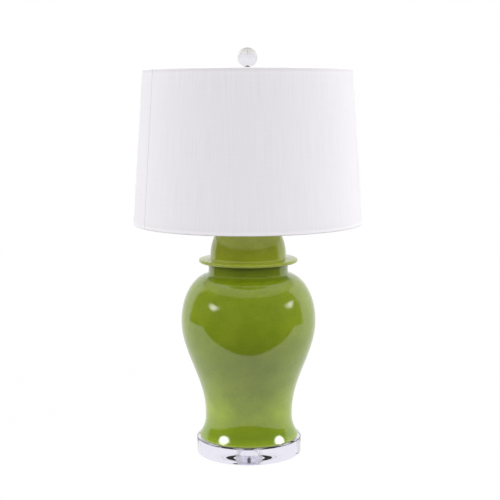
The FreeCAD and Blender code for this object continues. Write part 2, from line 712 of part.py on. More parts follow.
def socket_body():
    block = disc(block_radius(), BLOCK_BOTTOM, BLOCK_TOP)
    past_face = block_radius() + OVERCUT
    shaft_end = block_radius() - SHAFT_DEPTH - LOOSE_GAP
    block = block.cut(switch_bar(SHAFT_RADIUS + RUN_FIT, shaft_end, past_face))
    hole_end = terminal_seat() - TERMINAL_SHANK_LENGTH - LOOSE_GAP
    for side in (-1, 1):
        pocket = terminal_bar(side, TERMINAL_RADIUS + TERMINAL_PLAY, terminal_seat(), past_face)
        hole = terminal_bar(side, TERMINAL_SHANK_RADIUS + THREAD_PLAY, hole_end, past_face)
        block = block.cut(pocket).cut(hole)
    return block


def terminal_screws():
    screws = []
    seat = terminal_seat()
    for side in (-1, 1):
        head = terminal_bar(side, TERMINAL_RADIUS, seat, seat + TERMINAL_HEAD)
        shank = terminal_bar(side, TERMINAL_SHANK_RADIUS, seat - TERMINAL_SHANK_LENGTH, seat)
        screws.append(head.fuse(shank).removeSplitter())
    return Part.makeCompound(screws)


def screw_shell():
    inner = SCREW_SHELL_RADIUS - SCREW_SHELL_WALL
    return turned(
        (CONTACT_WIDTH, BLOCK_TOP),
        (SCREW_SHELL_RADIUS, BLOCK_TOP),
        (SCREW_SHELL_RADIUS, BLOCK_TOP + SCREW_SHELL_HEIGHT),
        (inner, BLOCK_TOP + SCREW_SHELL_HEIGHT),
        (inner, BLOCK_TOP + SCREW_SHELL_WALL),
        (CONTACT_WIDTH, BLOCK_TOP + SCREW_SHELL_WALL),
    )


def centre_contact():
    """A leaf that lies on the block and rises to the bulb's tip."""
    half = CONTACT_WIDTH / 2
    low = BLOCK_TOP
    high = BLOCK_TOP + CONTACT_RISE
    corners = [
        V(-half, 0, low),
        V(-half / 2, 0, low),
        V(half, 0, high - CONTACT_THICKNESS),
        V(half, 0, high),
        V(-half / 2 - CONTACT_THICKNESS / 2, 0, low + CONTACT_THICKNESS),
        V(-half, 0, low + CONTACT_THICKNESS),
    ]
    face = Part.Face(Part.makePolygon(corners + corners[:1]))
    leaf = face.extrude(V(0, CONTACT_WIDTH / 2, 0))
    leaf.translate(V(0, -CONTACT_WIDTH / 4, 0))
    return leaf


# --- turn switch -------------------------------------------------------------
def switch_bushing():
    start = block_radius()
    end = SHELL_RADIUS + SWITCH_BUSHING_OUT
    barrel = switch_bar(SWITCH_BUSHING_RADIUS - THREAD_PLAY, start, end)
    barrel = barrel.cut(disc(block_radius(), BLOCK_BOTTOM - OVERCUT, BLOCK_TOP + OVERCUT))
    return barrel.cut(switch_bar(SHAFT_RADIUS + RUN_FIT, 0, end + OVERCUT))


def knob_start():
    return SHELL_RADIUS + SWITCH_BUSHING_OUT + LOOSE_GAP


def switch_shaft():
    return switch_bar(SHAFT_RADIUS, block_radius() - SHAFT_DEPTH, knob_start() + SHAFT_IN_KNOB)


def switch_knob():
    start = knob_start()
    end = start + KNOB_LENGTH
    knob = switch_bar(KNOB_RADIUS, start, end)
    rim = [e for e in knob.Edges if abs(e.CenterOfMass.y + end) < NEAR]
    knob = knob.makeFillet(KNOB_EDGE_ROUND, rim)
    flute = switch_bar(KNOB_FLUTE_RADIUS, start - OVERCUT, end + OVERCUT)
    flute.translate(V(KNOB_RADIUS + KNOB_FLUTE_OUT, 0, 0))
    for k in range(KNOB_FLUTES):
        knob = knob.cut(spun(flute, 360 * k / KNOB_FLUTES, V(0, 0, SWITCH_AXIS), V(0, 1, 0)))
    return knob.cut(switch_bar(SHAFT_RADIUS, start - OVERCUT, start + SHAFT_IN_KNOB))


# --- bulb --------------------------------------------------------------------
def bulb_outline(inset):
    """Open outline of the glass, from the top down to the end of its neck."""
    ball = BULB_RADIUS - inset
    neck = BULB_NECK_RADIUS - inset
    join = math.radians(BULB_SWELL_ANGLE)
    join_point = at(ball * math.cos(join), BULB_MIDDLE - ball * math.sin(join))
    neck_end = at(neck, BULB_BASE_TOP + BULB_NECK_HEIGHT)
    swell = join_point.x - neck
    pull = at(neck + swell * BULB_SWELL_PULL, (join_point.z + neck_end.z) / 2)
    return [
        arc(at(0, BULB_MIDDLE + ball), at(ball, BULB_MIDDLE), join_point),
        arc(join_point, pull, neck_end),
        line(neck_end, at(neck, BULB_GLASS_FOOT)),
    ]


def bulb_fill(inset):
    end = at(BULB_NECK_RADIUS - inset, BULB_GLASS_FOOT)
    foot = at(0, BULB_GLASS_FOOT)
    top = at(0, BULB_MIDDLE + BULB_RADIUS - inset)
    return lathe(bulb_outline(inset) + [line(end, foot), line(foot, top)])


def bulb_glass():
    return bulb_fill(0).cut(bulb_fill(BULB_GLASS))


def bulb_base():
    inner = BULB_BASE_RADIUS - BULB_BASE_WALL
    return ring(BULB_BASE_RADIUS, inner, BULB_BASE_BOTTOM, BULB_BASE_TOP)


def bulb_insulator():
    inner = BULB_BASE_RADIUS - BULB_BASE_WALL
    return turned(
        (INSULATOR_BORE_RADIUS, BULB_TIP + BULB_TIP_HEIGHT),
        (BULB_TIP_RADIUS, BULB_TIP + BULB_TIP_HEIGHT),
        (inner, BULB_BASE_BOTTOM),
        (inner, BULB_BASE_BOTTOM + BULB_INSULATOR_HEIGHT),
        (INSULATOR_BORE_RADIUS, BULB_BASE_BOTTOM + BULB_INSULATOR_HEIGHT),
    )


def bulb_contact():
    return disc(BULB_TIP_RADIUS, BULB_TIP, BULB_TIP + BULB_TIP_HEIGHT)


def bulb_stem():
    foot = BULB_GLASS_FOOT
    flare = BULB_NECK_RADIUS - BULB_GLASS
    return turned(
        (0, foot),
        (flare, foot),
        (flare, foot + BULB_GLASS),
        (STEM_RADIUS, foot + STEM_FLARE_HEIGHT),
        (STEM_RADIUS, foot + STEM_HEIGHT),
        (0, foot + STEM_HEIGHT),
    )


def bulb_filament():
    foot = BULB_GLASS_FOOT + STEM_HEIGHT
    top = BULB_MIDDLE
    wires = []
    for side in (-1, 1):
        start = V(side * FILAMENT_ROOT, 0, foot)
        end = V(side * FILAMENT_SPAN, 0, top)
        wires.append(rod_along(start, end, FILAMENT_RADIUS))
    left = V(-FILAMENT_SPAN, 0, top)
    right = V(FILAMENT_SPAN, 0, top)
    bow = arc(left, V(0, 0, top + FILAMENT_BOW), right)
    wires.append(swept([bow], FILAMENT_RADIUS))
    return wires[0].fuse(wires[1:])


# --- shade -------------------------------------------------------------------
def wall_point(along, inward):
    """A point of the shade's wall: distance up its slant from the bottom edge, depth inside its face."""
    lean = SHADE_BOTTOM_RADIUS - SHADE_TOP_RADIUS
    slant = math.hypot(lean, SHADE_HEIGHT)
    radius = SHADE_BOTTOM_RADIUS - lean / slant * along - SHADE_HEIGHT / slant * inward
    return at(radius, SHADE_BOTTOM + SHADE_HEIGHT / slant * along - lean / slant * inward)


def slant_length():
    return math.hypot(SHADE_BOTTOM_RADIUS - SHADE_TOP_RADIUS, SHADE_HEIGHT)


def ring_room():
    """Width of the pocket in a hem that a ring's wire lies in."""
    return 2 * (RING_WIRE_RADIUS + RING_PLAY)


def hem_corners():
    """A rolled hem as (distance from the edge, depth): from the edge, down its face and back."""
    skin = FABRIC_THICKNESS
    panel_face = skin + PANEL_THICKNESS
    pocket = panel_face + ring_room()
    bend = skin + ring_room()
    return [
        (0, pocket + skin),
        (bend, pocket + skin),
        (HEM_DEPTH, panel_face + skin),
        (HEM_DEPTH, panel_face),
        (bend, pocket),
        (skin, pocket),
        (skin, skin),
    ]


def shade_fabric():
    full = slant_length()
    corners = [wall_point(0, 0), wall_point(full, 0)]
    corners += [wall_point(full - along, depth) for along, depth in hem_corners()]
    corners += [wall_point(along, depth) for along, depth in hem_corners()[::-1]]
    return lathe(path_of(corners + corners[:1]))


def shade_panel():
    full = slant_length()
    skin = FABRIC_THICKNESS
    back = skin + PANEL_THICKNESS
    corners = [
        wall_point(skin, skin),
        wall_point(full - skin, skin),
        wall_point(full - skin, back),
        wall_point(skin, back),
    ]
    return lathe(path_of(corners + corners[:1]))


def ring_middle(top):
    """Middle of a ring's wire, in its hem at the top or the bottom."""
    depth = FABRIC_THICKNESS + PANEL_THICKNESS + RING_WIRE_RADIUS + RING_PLAY
    along = FABRIC_THICKNESS + RING_WIRE_RADIUS + RING_PLAY
    return wall_point(slant_length() - along if top else along, depth)


def shade_ring(top):
    middle = ring_middle(top)
    return Part.makeTorus(middle.x, RING_WIRE_RADIUS, V(0, 0, middle.z), UP)


def hem_fill():
    """The top hem with its pocket filled, as the space that the arms' ends stop at."""
    full = slant_length()
    pocket = 2 * FABRIC_THICKNESS + PANEL_THICKNESS + ring_room()
    corners = [
        wall_point(full, 0),
        wall_point(full, pocket),
        wall_point(full - pocket, pocket),
        wall_point(full - pocket, 0),
    ]
    return lathe(path_of(corners + corners[:1]))


def hub_middle():
    return HUB_TOP - HUB_THICKNESS / 2


def spider_arm():
    """One arm: flat out from the hub, then up to the underside of the top ring's wire."""
    low = hub_middle()
    ring_wire = ring_middle(True)
    end = V(ring_wire.x, 0, ring_wire.z - ARM_WIRE_RADIUS)
    knee = V(end.x - ARM_RISE_RUN, 0, low)
    rise = end.sub(knee)
    slope = math.atan2(rise.z, rise.x)
    cut_back = ARM_BEND_RADIUS * math.tan(slope / 2)
    bend_start = V(knee.x - cut_back, 0, low)
    bend_end = knee.add(V(math.cos(slope), 0, math.sin(slope)).multiply(cut_back))
    mid_run = ARM_BEND_RADIUS * math.sin(slope / 2)
    mid_rise = ARM_BEND_RADIUS * (1 - math.cos(slope / 2))
    bend_mid = V(bend_start.x + mid_run, 0, low + mid_rise)
    flat = line(V(0, 0, low), bend_start)
    bend = arc(bend_start, bend_mid, bend_end)
    arm = swept([flat, bend, line(bend_end, end)], ARM_WIRE_RADIUS)
    arm = arm.cut(disc(HUB_RADIUS, low - HUB_THICKNESS, low + HUB_THICKNESS))
    return arm.cut(hem_fill())


def spider_arms():
    arms = [spun(spider_arm(), ARM_TURN + 360 * k / ARM_COUNT) for k in range(ARM_COUNT)]
    return Part.makeCompound(arms)


def spider_hub():
    return ring(HUB_RADIUS, STUD_RADIUS + RUN_FIT, STUD_SEAT, HUB_TOP)


# --- finial ------------------------------------------------------------------
def finial_base():
    waist = HUB_TOP + FINIAL_BASE_HEIGHT / 2
    bore_top = STUD_SEAT + STUD_LENGTH + THREAD_RUNOUT
    body = turned(
        (0, HUB_TOP),
        (FINIAL_FOOT_RADIUS, HUB_TOP),
        (FINIAL_FOOT_RADIUS, HUB_TOP + FINIAL_FOOT_HEIGHT),
        (FINIAL_NECK_RADIUS, waist),
        (BALL_SEAT_RADIUS, BALL_SEAT - BALL_SEAT_RIM),
        (BALL_SEAT_RADIUS, BALL_SEAT),
        (PEG_RADIUS, BALL_SEAT),
        (PEG_RADIUS, BALL_SEAT + PEG_LENGTH),
        (0, BALL_SEAT + PEG_LENGTH),
    )
    return body.cut(disc(STUD_RADIUS + RUN_FIT, HUB_TOP - OVERCUT, bore_top))


def finial_ball():
    ball = Part.makeSphere(BALL_RADIUS, V(0, 0, BALL_MIDDLE))
    ball = ball.cut(disc(BALL_RADIUS, BALL_SEAT - BALL_RADIUS, BALL_SEAT))
    peg_end = BALL_SEAT + PEG_LENGTH + LOOSE_GAP
    return ball.cut(disc(PEG_RADIUS + THREAD_PLAY, BALL_SEAT - OVERCUT, peg_end))


PIECES = {
    "acrylic_base": acrylic_base,
    "base_bumpers": base_bumpers,
    "foot_washer": foot_washer,
    "foot_nut": foot_nut,
    "foot_pad": foot_pad,
    "lamp_pipe": lamp_pipe,
    "jar_body": jar_body,
    "cord_bushing": cord_bushing,
    "lid_seal": lid_seal,
    "jar_lid": jar_lid,
    "vase_cap": vase_cap,
    "cap_nut": cap_nut,
    "harp_saddle": harp_saddle,
    "harp": harp,
    "harp_ferrule_left": lambda: harp_ferrule(-1),
    "harp_ferrule_right": lambda: harp_ferrule(1),
    "harp_stud": harp_stud,
    "socket_cap": socket_cap,
    "socket_set_screw": socket_set_screw,
    "socket_shell": socket_shell,
    "socket_liner": socket_liner,
    "socket_body": socket_body,
    "screw_shell": screw_shell,
    "centre_contact": centre_contact,
    "terminal_screws": terminal_screws,
    "switch_bushing": switch_bushing,
    "switch_shaft": switch_shaft,
    "switch_knob": switch_knob,
    "bulb_glass": bulb_glass,
    "bulb_base": bulb_base,
    "bulb_insulator": bulb_insulator,
    "bulb_contact": bulb_contact,
    "bulb_stem": bulb_stem,
    "bulb_filament": bulb_filament,
    "shade_fabric": shade_fabric,
    "shade_panel": shade_panel,
    "shade_top_ring": lambda: shade_ring(True),
    "shade_bottom_ring": lambda: shade_ring(False),
    "spider_arms": spider_arms,
    "spider_hub": spider_hub,
    "finial_base": finial_base,
    "finial_ball": finial_ball,
}


def write_pieces():
    os.makedirs("parts", exist_ok=True)
    for name, make in PIECES.items():
        shape = make()
        if not shape.isValid() or shape.Volume <= 0 or not shape.Solids:
            raise ValueError(name + " is not a sound solid")
        box = shape.BoundBox
        heights = f"z {box.ZMin:8.2f} to {box.ZMax:8.2f}"
        print(f"{name:20s} solids {len(shape.Solids)}  volume {shape.Volume:12.1f}  {heights}")
        shape.exportStep("parts/" + name + ".step")


write_pieces()
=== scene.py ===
# %% [markdown]
# # Finishing a ginger jar lamp
#
# The lamp arrives as forty-two turned, bent and pressed pieces that already sit in the
# right place. This lesson gives them their looks: a lime glaze, clear acrylic, slubby
# linen, crystal and metal. The pieces that the eye rests on are turned again as smooth
# meshes, because a glossy glaze shows every flat facet. The rest keep their shape and
# only get a finish.

import math

import bmesh
import bpy
from mathutils import Euler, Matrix, Quaternion, Vector, noise


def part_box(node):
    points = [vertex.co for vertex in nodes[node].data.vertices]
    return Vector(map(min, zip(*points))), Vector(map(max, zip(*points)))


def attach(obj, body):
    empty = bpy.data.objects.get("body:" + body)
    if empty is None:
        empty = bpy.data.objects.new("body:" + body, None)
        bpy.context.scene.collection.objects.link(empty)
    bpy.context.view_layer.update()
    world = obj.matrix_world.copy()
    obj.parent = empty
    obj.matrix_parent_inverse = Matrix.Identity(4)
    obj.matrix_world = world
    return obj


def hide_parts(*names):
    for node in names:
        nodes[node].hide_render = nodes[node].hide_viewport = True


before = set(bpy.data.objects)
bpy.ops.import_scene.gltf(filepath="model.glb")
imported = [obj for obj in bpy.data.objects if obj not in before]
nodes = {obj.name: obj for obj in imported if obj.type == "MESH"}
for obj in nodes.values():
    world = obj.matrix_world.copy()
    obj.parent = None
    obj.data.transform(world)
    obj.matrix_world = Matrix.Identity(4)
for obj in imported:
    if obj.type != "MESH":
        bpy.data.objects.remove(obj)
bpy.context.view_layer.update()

# %% [markdown]
# ## The camera
#
# The lamp is seen from straight in front, from a little below the top of the shade, with
# a long lens. A long lens keeps the sides of the shade nearly straight. The camera was
# placed by measuring how much the rims bow, and it leans over by a fraction of a degree,
# as a camera on a tripod often does.

# %% Set up the camera
LENS = 80.06                       # mm, on a 36 mm sensor
CAMERA_PLACE = (0.0036, -2.216, 0.721)
CAMERA_DOWN = math.radians(7.86)
CAMERA_ROLL = math.radians(-0.22)

camera = bpy.data.objects.new("camera", bpy.data.cameras.new("camera"))
bpy.context.scene.collection.objects.link(camera)
camera.data.lens = LENS
camera.data.sensor_width = 36
camera.location = CAMERA_PLACE
camera.rotation_mode = "QUATERNION"
level = Euler((math.pi / 2 - CAMERA_DOWN, 0, 0)).to_quaternion()
camera.rotation_quaternion = level @ Quaternion((0, 0, 1), CAMERA_ROLL)
bpy.context.scene.camera = camera
bpy.context.scene.view_settings.view_transform = "Standard"
print("camera", tuple(round(x, 3) for x in camera.location))

# %% [markdown]
# ## Wiring a finish
#
# Each finish is a small network of nodes. Making one by hand takes many clicks, so these
# helpers do the clicks: one makes a node, one joins two sockets, and the others are the
# few moves that nearly every finish needs. They are worth having before any material is
# made, because then a finish reads like a recipe.

# %% Helpers for finishes
def node(finish, kind, **inputs):
    """A new shader node, with values for its input sockets."""
    made = finish.node_tree.nodes.new("ShaderNode" + kind)
    for name, value in inputs.items():
        made.inputs[name.replace("_", " ")].default_value = value
    return made


def join(finish, source, target):
    """A link from one socket to another."""
    finish.node_tree.links.new(source, target)


def start_finish(name, colour, roughness, **sockets):
    """A material with one Principled shader, and that shader."""
    finish = bpy.data.materials.new(name)
    finish.use_nodes = True
    shader = finish.node_tree.nodes["Principled BSDF"]
    shader.inputs["Base Color"].default_value = (*colour, 1)
    shader.inputs["Roughness"].default_value = roughness
    for socket, value in sockets.items():
        shader.inputs[socket.replace("_", " ")].default_value = value
    return finish, shader


def place(finish, stretch=(1, 1, 1), source="Object"):
    """Coordinates in metres, stretched: a bigger number packs the pattern tighter."""
    where = node(finish, "TexCoord")
    mapping = node(finish, "Mapping", Scale=stretch)
    join(finish, where.outputs[source], mapping.inputs["Vector"])
    return mapping.outputs["Vector"]


def grain(finish, where, scale, detail=2.0, roughness=0.5):
    """Soft noise from 0 to 1."""
    made = node(finish, "TexNoise", Scale=scale, Detail=detail, Roughness=roughness)
    join(finish, where, made.inputs["Vector"])
    return made.outputs["Fac"]


def ramp(finish, factor, *stops):
    """Colours along a factor, as (position, colour) stops."""
    made = node(finish, "ValToRGB")
    stock = made.color_ramp.elements
    while len(stock) < len(stops):
        stock.new(0.5)
    for k, (position, colour) in enumerate(stops):
        stock[k].position = position
        stock[k].color = (*colour, 1)
    join(finish, factor, made.inputs["Fac"])
    return made.outputs["Color"]


def spread(finish, factor, low, high, start=0.0, end=1.0):
    """A factor moved into the range low to high."""
    made = node(finish, "MapRange", From_Min=start, From_Max=end, To_Min=low, To_Max=high)
    join(finish, factor, made.inputs["Value"])
    return made.outputs["Result"]


def maths(finish, kind, first, second=0.0):
    """A maths node on a socket and, if its kind takes two, another socket or number."""
    made = node(finish, "Math")
    made.operation = kind
    join(finish, first, made.inputs[0])
    if isinstance(second, (int, float)):
        made.inputs[1].default_value = second
    else:
        join(finish, second, made.inputs[1])
    return made.outputs["Value"]


def band(finish, along, middle, reach):
    """1 at one place along a direction, fading to 0 a reach to both sides of it."""
    away = maths(finish, "ABSOLUTE", maths(finish, "SUBTRACT", along, middle))
    return spread(finish, away, 1.0, 0.0, 0.0, reach)


def level_distance(finish, x, y):
    """Distance from the lamp's axis."""
    across = maths(finish, "MULTIPLY", x, x)
    along = maths(finish, "MULTIPLY", y, y)
    return maths(finish, "SQRT", maths(finish, "ADD", across, along))


def blend_colours(finish, factor, first, second):
    """Two colour sockets or plain colours, mixed by a factor socket or number."""
    made = node(finish, "Mix")
    made.data_type = "RGBA"
    sockets = (made.inputs[0], made.inputs[6], made.inputs[7])
    for socket, value in zip(sockets, (factor, first, second)):
        if isinstance(value, (int, float)):
            socket.default_value = value
        elif isinstance(value, tuple):
            socket.default_value = (*value, 1)
        else:
            join(finish, value, socket)
    return made.outputs[2]


def raise_surface(finish, shader, height, distance):
    """Bump: distance is how far the highest part seems to stand up, in metres."""
    made = node(finish, "Bump", Distance=distance)
    join(finish, height, made.inputs["Height"])
    join(finish, made.outputs["Normal"], shader.inputs["Normal"])


print("finish helpers ready")

# %% [markdown]
# ## The studio
#
# The lamp stands on a white table in front of white walls, between two softboxes. To the
# eye the table and walls are pure white, so the world is painted that way for the camera
# and, towards the back, for reflections. Light that falls on the lamp is a separate,
# plainer thing: a soft fill, stronger from the sides and nearly none from below, that
# renders a colour about as it is written. The room in front of the table is dark, and a
# glossy jar shows it: that dark reflection is what makes the glaze look deep.

# %% White world with a dark front
FILL_ABOVE = 1.67                  # the fill's strength above the horizon
FILL_BELOW = 0.03
FILL_STARTS = -0.08                # height in a direction where it begins to grow
FILL_FULL = 0.22
FILL_FRONT = 0.60                  # share of it that comes from front and back
FILL_SIDES = 0.84                  # added at the sides
SIDES_FULL = 0.5                   # square of the sideways share where that is all there
FILL_RIGHT = 0.08                  # added on the right, taken away on the left
ROOM_GREY = 0.08                   # what glossy pieces see in front
THROUGH_GLASS = 0.76               # least that is seen through clear pieces
WALL_STARTS = 0.30                 # share of the way to the back where the walls begin
WALL_FULL = 0.42
WALL_RIGHT = 0.12                  # the walls reach further forward on the right
PURE_WHITE = (1.0, 1.0, 1.0)

world = bpy.data.worlds.new("studio")
bpy.context.scene.world = world
world.use_nodes = True
backdrop = world.node_tree.nodes["Background"]
look = node(world, "TexCoord")
direction = node(world, "SeparateXYZ")
join(world, look.outputs["Generated"], direction.inputs[0])
east = direction.outputs["X"]
north = direction.outputs["Y"]
up = direction.outputs["Z"]

backward = maths(world, "DIVIDE", north, level_distance(world, east, north))
forward_shift = maths(world, "MULTIPLY", east, WALL_RIGHT)
reach = maths(world, "ADD", backward, forward_shift)
wall = spread(world, reach, ROOM_GREY, 1.0, WALL_STARTS, WALL_FULL)

from_above = spread(world, up, FILL_BELOW, FILL_ABOVE, FILL_STARTS, FILL_FULL)
sideways = maths(world, "MULTIPLY", east, east)
sides = spread(world, sideways, 0.0, FILL_SIDES, 0.0, SIDES_FULL)
right = maths(world, "MULTIPLY", east, FILL_RIGHT)
around = maths(world, "ADD", maths(world, "ADD", sides, right), FILL_FRONT)
fill = maths(world, "MULTIPLY", from_above, around)

rays = node(world, "LightPath")
shown = blend_colours(world, rays.outputs["Is Glossy Ray"], fill, wall)
through = maths(world, "MAXIMUM", wall, THROUGH_GLASS)
shown = blend_colours(world, rays.outputs["Is Transmission Ray"], shown, through)
shown = blend_colours(world, rays.outputs["Is Camera Ray"], shown, PURE_WHITE)
join(world, shown, backdrop.inputs["Color"])
print("fill from above and below", FILL_ABOVE, FILL_BELOW)

# %% [markdown]
# The table is a finite sheet: its front edge is only 25 cm in front of the clear base,
# and the edge of its reflection is the line that crosses the belly of the jar. To the
# camera and in reflections it mostly glows white. A small share of it is ordinary grey
# paint, and that share takes the lamp's soft shadow.

# %% White table
TABLE_FRONT = -0.36                # metres
TABLE_BACK = 3.0
TABLE_SIDE = 2.2
TABLE_GLOW = 0.93                  # share of the table that glows white for the camera
TABLE_WHITE = 1.05
TABLE_PAINT = (0.18, 0.18, 0.18)
TABLE_SINKS = 0.0001               # keeps the table just under the bumper dots


def table_mesh():
    """A flat sheet, cut into a coarse grid."""
    mesh = bpy.data.meshes.new("white_table")
    sheet = bmesh.new()
    corners = [(-1, TABLE_FRONT), (1, TABLE_FRONT), (1, TABLE_BACK), (-1, TABLE_BACK)]
    made = [sheet.verts.new((side * TABLE_SIDE, y, -TABLE_SINKS)) for side, y in corners]
    sheet.faces.new(made)
    bmesh.ops.subdivide_edges(sheet, edges=sheet.edges, cuts=6, use_grid_fill=True)
    sheet.to_mesh(mesh)
    sheet.free()
    return mesh


def table_finish():
    """White that glows for the camera, for reflections and through clear pieces."""
    finish, shader = start_finish("white_paper", TABLE_PAINT, roughness=0.9)
    glow = node(finish, "Emission", Strength=TABLE_WHITE)
    rays = node(finish, "LightPath")
    seen = rays.outputs["Is Camera Ray"]
    for kind in ("Is Glossy Ray", "Is Transmission Ray"):
        seen = maths(finish, "MAXIMUM", seen, rays.outputs[kind])
    share = maths(finish, "MULTIPLY", seen, TABLE_GLOW)
    both = node(finish, "MixShader")
    join(finish, share, both.inputs["Fac"])
    join(finish, shader.outputs["BSDF"], both.inputs[1])
    join(finish, glow.outputs["Emission"], both.inputs[2])
    surface = finish.node_tree.nodes["Material Output"].inputs["Surface"]
    join(finish, both.outputs["Shader"], surface)
    return finish


table = bpy.data.objects.new("white_table", table_mesh())
bpy.context.scene.collection.objects.link(table)
table.data.materials.append(table_finish())
print("table front edge", TABLE_FRONT)

# %% [markdown]
# A softbox is a lamp behind a sheet of white cloth. It is brightest in the middle and
# fades towards its sides, and a glossy jar shows exactly that, so the area lamp's
# strength is shaped across its face. The two stand low and near, one at each side. On
# each, a grid of cloth cells keeps the light together and aims it at the foot of the jar:
# there the reflections are bright, and on the belly they are small and dim.

# %% Two softboxes
BOX_AWAY = 0.85                    # metres, from the lamp's axis
BOX_LOW = 0.10
BOX_HIGH = 0.66
BOX_WIDTH = 0.56
BOX_POWER = 1.25                   # watts
BOX_SPREAD = 34                    # degrees, what the grid lets out
BOX_AIM = Vector((0, 0, -0.15))


def soft_face(lamp):
    """Makes an area lamp fade from the middle of its face to its edges."""
    lamp.use_nodes = True
    glow = lamp.node_tree.nodes["Emission"]
    face = node(lamp, "NewGeometry")
    spot = node(lamp, "SeparateXYZ")
    join(lamp, face.outputs["Parametric"], spot.inputs[0])
    shares = []
    for axis in ("X", "Y"):
        along = spot.outputs[axis]
        rest = maths(lamp, "SUBTRACT", maths(lamp, "MULTIPLY", along, -1.0), -1.0)
        shares.append(maths(lamp, "MULTIPLY", maths(lamp, "MULTIPLY", along, rest), 4.0))
    join(lamp, maths(lamp, "MULTIPLY", *shares), glow.inputs["Strength"])


def softbox(name, azimuth):
    """An area lamp beside the jar; azimuth 0 is the camera's side, + is right."""
    lamp = bpy.data.lights.new(name, "AREA")
    lamp.shape = "RECTANGLE"
    lamp.size = BOX_WIDTH
    lamp.size_y = BOX_HIGH - BOX_LOW
    lamp.energy = BOX_POWER
    lamp.spread = math.radians(BOX_SPREAD)
    soft_face(lamp)
    stand = bpy.data.objects.new(name, lamp)
    bpy.context.scene.collection.objects.link(stand)
    a = math.radians(azimuth)
    out = Vector((math.sin(a), -math.cos(a), 0))
    stand.location = out * BOX_AWAY + Vector((0, 0, (BOX_LOW + BOX_HIGH) / 2))
    stand.rotation_mode = "QUATERNION"
    stand.rotation_quaternion = (stand.location - BOX_AIM).to_track_quat("Z", "Y")
    return stand


softbox("softbox_left", -66)
softbox("softbox_right", 82)

# %% [markdown]
# ## Turning a piece
#
# A potter's wheel and a lathe make the same kind of shape: an outline, swung round an
# axis. The helper here does that with many narrow steps. It can also nudge the radius a
# little as it goes, because no hand-made pot is perfectly round, and it lays the texture
# coordinates out flat in metres, as cloth is cut.

# %% Helpers for turned pieces
MM = 0.001


def rounded(corners, steps=5):
    """A closed outline from (radius, height, rounding) corners: the corners are bent."""
    points = []
    for k, (radius, height, bend) in enumerate(corners):
        here = Vector((radius, height))
        if bend == 0:
            points.append(here)
            continue
        before = Vector(corners[k - 1][:2])
        after = Vector(corners[(k + 1) % len(corners)][:2])
        start = here + (before - here).normalized() * bend
        end = here + (after - here).normalized() * bend
        for step in range(steps + 1):
            t = step / steps
            points.append(start.lerp(here, t).lerp(here.lerp(end, t), t))
    return points


def plain(points):
    """Corners with no rounding, from (radius, height) points."""
    return [(radius, height, 0) for radius, height in points]


def even_angles(steps, start=0.0):
    """Angles for one whole turn, from the camera's side to the right."""
    return [start + 2 * math.pi * k / steps for k in range(steps)]


def turned(name, outline, angles, nudge=None, closed=True):
    """A mesh of revolution from an outline in millimetres, anticlockwise in radius and height."""
    mesh = bpy.data.meshes.new(name)
    work = bmesh.new()
    flat = work.loops.layers.uv.new("flat")
    lengths = [0.0]
    for before, after in zip(outline, outline[1:] + outline[:1]):
        lengths.append(lengths[-1] + (Vector(after) - Vector(before)).length * MM)
    widest = max(point[0] for point in outline) * MM
    columns = []
    for angle in angles:
        column = []
        for radius, height in outline:
            out = radius + (nudge(angle, radius, height) if nudge and radius else 0)
            spot = (out * math.sin(angle) * MM, -out * math.cos(angle) * MM, height * MM)
            column.append(work.verts.new(spot))
        columns.append(column)
    rows = len(outline) if closed else len(outline) - 1
    for c, column in enumerate(columns):
        following = columns[(c + 1) % len(columns)]
        turn = angles[c + 1] if c + 1 < len(angles) else angles[0] + 2 * math.pi
        for r in range(rows):
            up = (r + 1) % len(outline)
            face = work.faces.new((column[r], following[r], following[up], column[up]))
            spans = ((angles[c], lengths[r]), (turn, lengths[r]),
                     (turn, lengths[r + 1]), (angles[c], lengths[r + 1]))
            for loop, (angle, along) in zip(face.loops, spans):
                loop[flat].uv = (angle * widest, along)
    bmesh.ops.remove_doubles(work, verts=work.verts, dist=1e-8)
    work.to_mesh(mesh)
    work.free()
    piece = bpy.data.objects.new(name, mesh)
    bpy.context.scene.collection.objects.link(piece)
    return piece


def smooth(piece, sharp_above=35):
    """Smooth shading, but crisp where the surface bends by more than some degrees."""
    piece.data.shade_smooth()
    piece.data.set_sharp_from_angle(angle=math.radians(sharp_above))


def stands_for(piece, body, slot, finish, *replaced):
    """Gives a new piece its finish, and ties it to the body and the pieces that it stands for."""
    piece.data.materials.append(finish)
    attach(piece, body)
    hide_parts(*replaced)
    low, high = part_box(replaced[0])
    print(piece.name, len(piece.data.polygons), "faces, stands for", replaced[0],
          [round(x * 1000, 1) for x in high - low])


# %% [markdown]
# ## The jar
#
# The jar is thrown, dried, glazed and fired. Its outline is one long curve: a foot that
# flares, a narrow waist, a belly, a round shoulder and a straight neck. Each part of it
# has its own rule, so that the belly can be changed without spoiling the foot. A wobble
# of a tenth of a millimetre keeps reflections from looking machined.

# %% Outline of the jar
JAR_BOTTOM = 34.0
FOOT = 100.4                       # widest ring of the foot
FOOT_EDGE = 3.5                    # its height above the bottom
WAIST = 88.3
WAIST_AT = 44.0                    # heights above the bottom
BELLY = 135.8
BELLY_AT = 238.0
SHOULDER_RISE = 96.0
SHOULDER_MIDDLE = 75.9             # where the shoulder's curve is centred
NECK = 79.9
JAR_RIM = 391.5
WALL = 6.0
FLOOR_TOP = 48.0
RECESS = 85.4                      # radius of the hollow under the foot
RECESS_DEEP = 5.0
PIPE_HOLE = 5.5
NECK_FILLET = 7.0                  # glaze that gathers at the neck's foot
WOBBLE = 0.14


def flare_radius(share):
    """From the foot, 0, in to the waist, 1."""
    return WAIST + (FOOT - WAIST) * (1 - share) ** 2.4


def swell_radius(share):
    """From the waist, 0, out to the belly, 1."""
    return WAIST + (BELLY - WAIST) * (1 - math.cos(math.pi * share ** 1.08)) / 2


